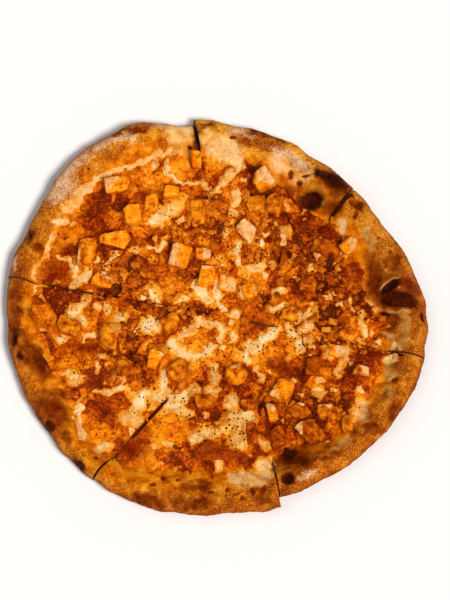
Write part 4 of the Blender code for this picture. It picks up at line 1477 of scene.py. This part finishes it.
# %% Chicken crumbs
CRUMB_COUNT = 650
CRUMB_TRIES = 40000
CRUMB_SHAPES = 6
CRUMB_LEAST, CRUMB_MORE = 1.8, 4.0  # the smallest size, and how much larger the largest is
CRUMB_SIZES = ((0.9, 1.6), (0.6, 1.0), (0.3, 0.6))  # length, width and height, as shares
CRUMB_TURNS = ((0, 6.28), (-0.5, 0.5), (-0.5, 0.5))  # about z, x and y, in radians


def chopped_crumbs():
    """Chicken chopped fine and soaked in sauce: damp grains, each one a little browner or paler."""
    constants = {"Roughness": 0.4, "IOR": 1.45, "Specular Tint": linear(OILY_GLINT)}
    material, tree, shader = material_with("chopped_chicken_crumbs", constants)
    speckle = noise_of(tree, 1.2, 3.0, 0.6)
    shifted = add(tree, "Math", {0: speckle, 1: -0.5}, operation="ADD").outputs[0]
    tone = blend_of(tree, (stored(tree, "tone"), 1.0), (shifted, 0.6))
    skin = spread(tree, tone, "#5A1802 #8A3204 #B45206 #D4700C #E88C1C #F2AC50", 0.45)
    finish_shader(tree, shader, skin, None, (speckle, 0.4, 0.6))
    return material


def crumbs_wanted(x, y, fall, finish):
    """Mostly the meaty areas, and never the cheese or the big pieces."""
    wanted = 0.12 + 0.7 * finish["meaty"] - 0.6 * finish["cheese"] - 0.25 * finish["pool"]
    return wanted * (fall > 0.78) * (beyond_chicken(x, y) > 0.3)


def place_crumbs(seed):
    draw, places = scattered(CRUMB_COUNT, seed, CRUMB_TRIES, crumbs_wanted)
    placings = []
    for x, y, z, darker_patch in places:
        size = CRUMB_LEAST + CRUMB_MORE * draw.random() ** 2.5
        sizes = [size * draw.uniform(*share) for share in CRUMB_SIZES]
        turns = [draw.uniform(*turn) for turn in CRUMB_TURNS]
        # Crumbs are painted darker in the darker patches too.
        tone = np.clip(draw.normal(0.45, 0.15) - 0.12 * darker_patch, 0.05, 1.0)
        pick = int(draw.integers(CRUMB_SHAPES))
        placings.append((pick, (x, y, z - 0.1 * size), sizes, turns, tone))
    return placings


blocks = shapes_to_copy(chopped_block, CRUMB_SHAPES, seed=3, least=0.8, most=1.2)
crumbs = joined("chicken_crumbs", blocks, place_crumbs(seed=5), chopped_crumbs())
print("crumbs have", len(crumbs.data.polygons), "faces")


# %% Cracked pepper
PEPPER_COUNT = 1750
PEPPER_TRIES = 12000
PEPPER_SHAPES = 4
PEPPER_LEAST, PEPPER_MORE = 0.6, 1.2  # the same for pepper
PEPPER_FLATNESS = 0.4  # a flake's thickness as a share of its width


def cracked_pepper():
    """Peppercorns cracked in a mill: dry and nearly black, with some brown inner faces."""
    constants = {"Roughness": 0.8, "Specular IOR Level": 0.1}
    material, tree, shader = material_with("cracked_black_pepper", constants)
    tone = ramp(tree, noise_of(tree, 0.8, 2.0), (0.35, "#080402"), (0.60, "#1C0E06"), (0.80, "#4A2C14"))
    finish_shader(tree, shader, tone)
    return material


PEPPERED = (
    (122, 315, 26, 20), (150, 327, 26, 22), (72, 370, 22, 24), (240, 424, 34, 44), (112, 268, 26, 40),
    (128, 350, 20, 50), (150, 378, 30, 40), (215, 365, 36, 50), (225, 240, 40, 60), (300, 330, 50, 40),
    (262, 345, 24, 24), (238, 418, 30, 46), (205, 430, 26, 20), (170, 390, 40, 50),
)


def pepper_wanted(x, y, fall, _):
    """All of the topping but the big pieces, and most of all where the picture shows much."""
    wanted = 0.2 + 0.8 * marked(x, y, PEPPERED, waver=3.0)
    return wanted * (fall > 0.7) * (beyond_chicken(x, y) > 0.2)


def place_pepper(seed):
    draw, places = scattered(PEPPER_COUNT, seed, PEPPER_TRIES, pepper_wanted)
    placings = []
    for x, y, z, _ in places:
        size = PEPPER_LEAST + PEPPER_MORE * draw.random() ** 2
        sizes = (size * draw.uniform(0.8, 1.6), size, size * PEPPER_FLATNESS)
        turns = (draw.uniform(0, 6.28), 0.0, 0.0)
        placings.append((int(draw.integers(PEPPER_SHAPES)), (x, y, z + 0.05), sizes, turns, 0.0))
    return placings


flakes = shapes_to_copy(pepper_flake, PEPPER_SHAPES, seed=8, least=0.5, most=1.3)
pepper = joined("pepper_specks", flakes, place_pepper(seed=9), cracked_pepper())
print("pepper has", len(pepper.data.polygons), "faces")

# %% [markdown]
# ## Floor, light and camera
# The pizza lies on a plain pale floor. A soft light high at the lower right models the relief
# and a weak wide one fills the shadows. The camera looks down steeply, as the picture does.

# %% The floor
FLOOR_SIZE = 6.0
bm = bmesh.new()
bmesh.ops.create_grid(bm, x_segments=1, y_segments=1, size=FLOOR_SIZE / 2)
floor_mesh = bpy.data.meshes.new("floor")
bm.to_mesh(floor_mesh)
bm.free()
floor = in_scene("floor", floor_mesh)
# A sheet of matt paper: it shows the soft shadow and nothing else.
paper = {"Base Color": linear("#F8F8F8"), "Roughness": 0.9}
floor_mesh.materials.append(material_with("matt_pale_paper", paper)[0])
print("floor is", FLOOR_SIZE, "m wide")


# %% Light
def studio_light(name, place, wide, power, colour):
    """A far light that shines from this side, and looks so many degrees wide."""
    light = bpy.data.lights.new(name, "SUN")
    light.angle = math.radians(wide)
    light.energy = power
    light.color = linear(colour)[:3]
    obj = in_scene(name, light)
    obj.location = place
    obj.rotation_euler = (-Vector(place)).to_track_quat("-Z", "Y").to_euler()


studio_light("key_light", (0.45, -0.42, 1.0), wide=20, power=2.86, colour="#FFFAF4")
studio_light("fill_light", (-0.8, 0.1, 0.9), wide=60, power=0.5, colour="#FFFCF8")
world = bpy.data.worlds.new("pale_studio")
world.use_nodes = True
sky = world.node_tree.nodes["Background"]
sky.inputs["Color"].default_value = linear("#F2F2F2")
sky.inputs["Strength"].default_value = 0.25
bpy.context.scene.world = world
bpy.context.scene.view_settings.view_transform = "Standard"
print("lights: key, fill and a pale world")

# %% Camera
DISTANCE = 4.0
TOPPING_HEIGHT = 9.0
SENSOR_WIDTH = 36  # millimetres
target = Vector(in_frame(*np.array([[middle_x], [middle_y], [TOPPING_HEIGHT]]))[0])
camera_data = bpy.data.cameras.new("camera")
camera_data.sensor_width = SENSOR_WIDTH
camera_data.lens = SENSOR_WIDTH * DISTANCE / (PICTURE_HEIGHT * PIXEL_MM * MM)
camera_data.sensor_fit = "AUTO"
camera = in_scene("camera", camera_data)
back = Vector((0, -math.cos(ELEVATION), math.sin(ELEVATION)))
camera.location = target + back * DISTANCE
camera.rotation_euler = (-back).to_track_quat("-Z", "Y").to_euler()
bpy.context.scene.camera = camera
print("camera", DISTANCE, "m from the pizza, at", round(math.degrees(ELEVATION)), "degrees")
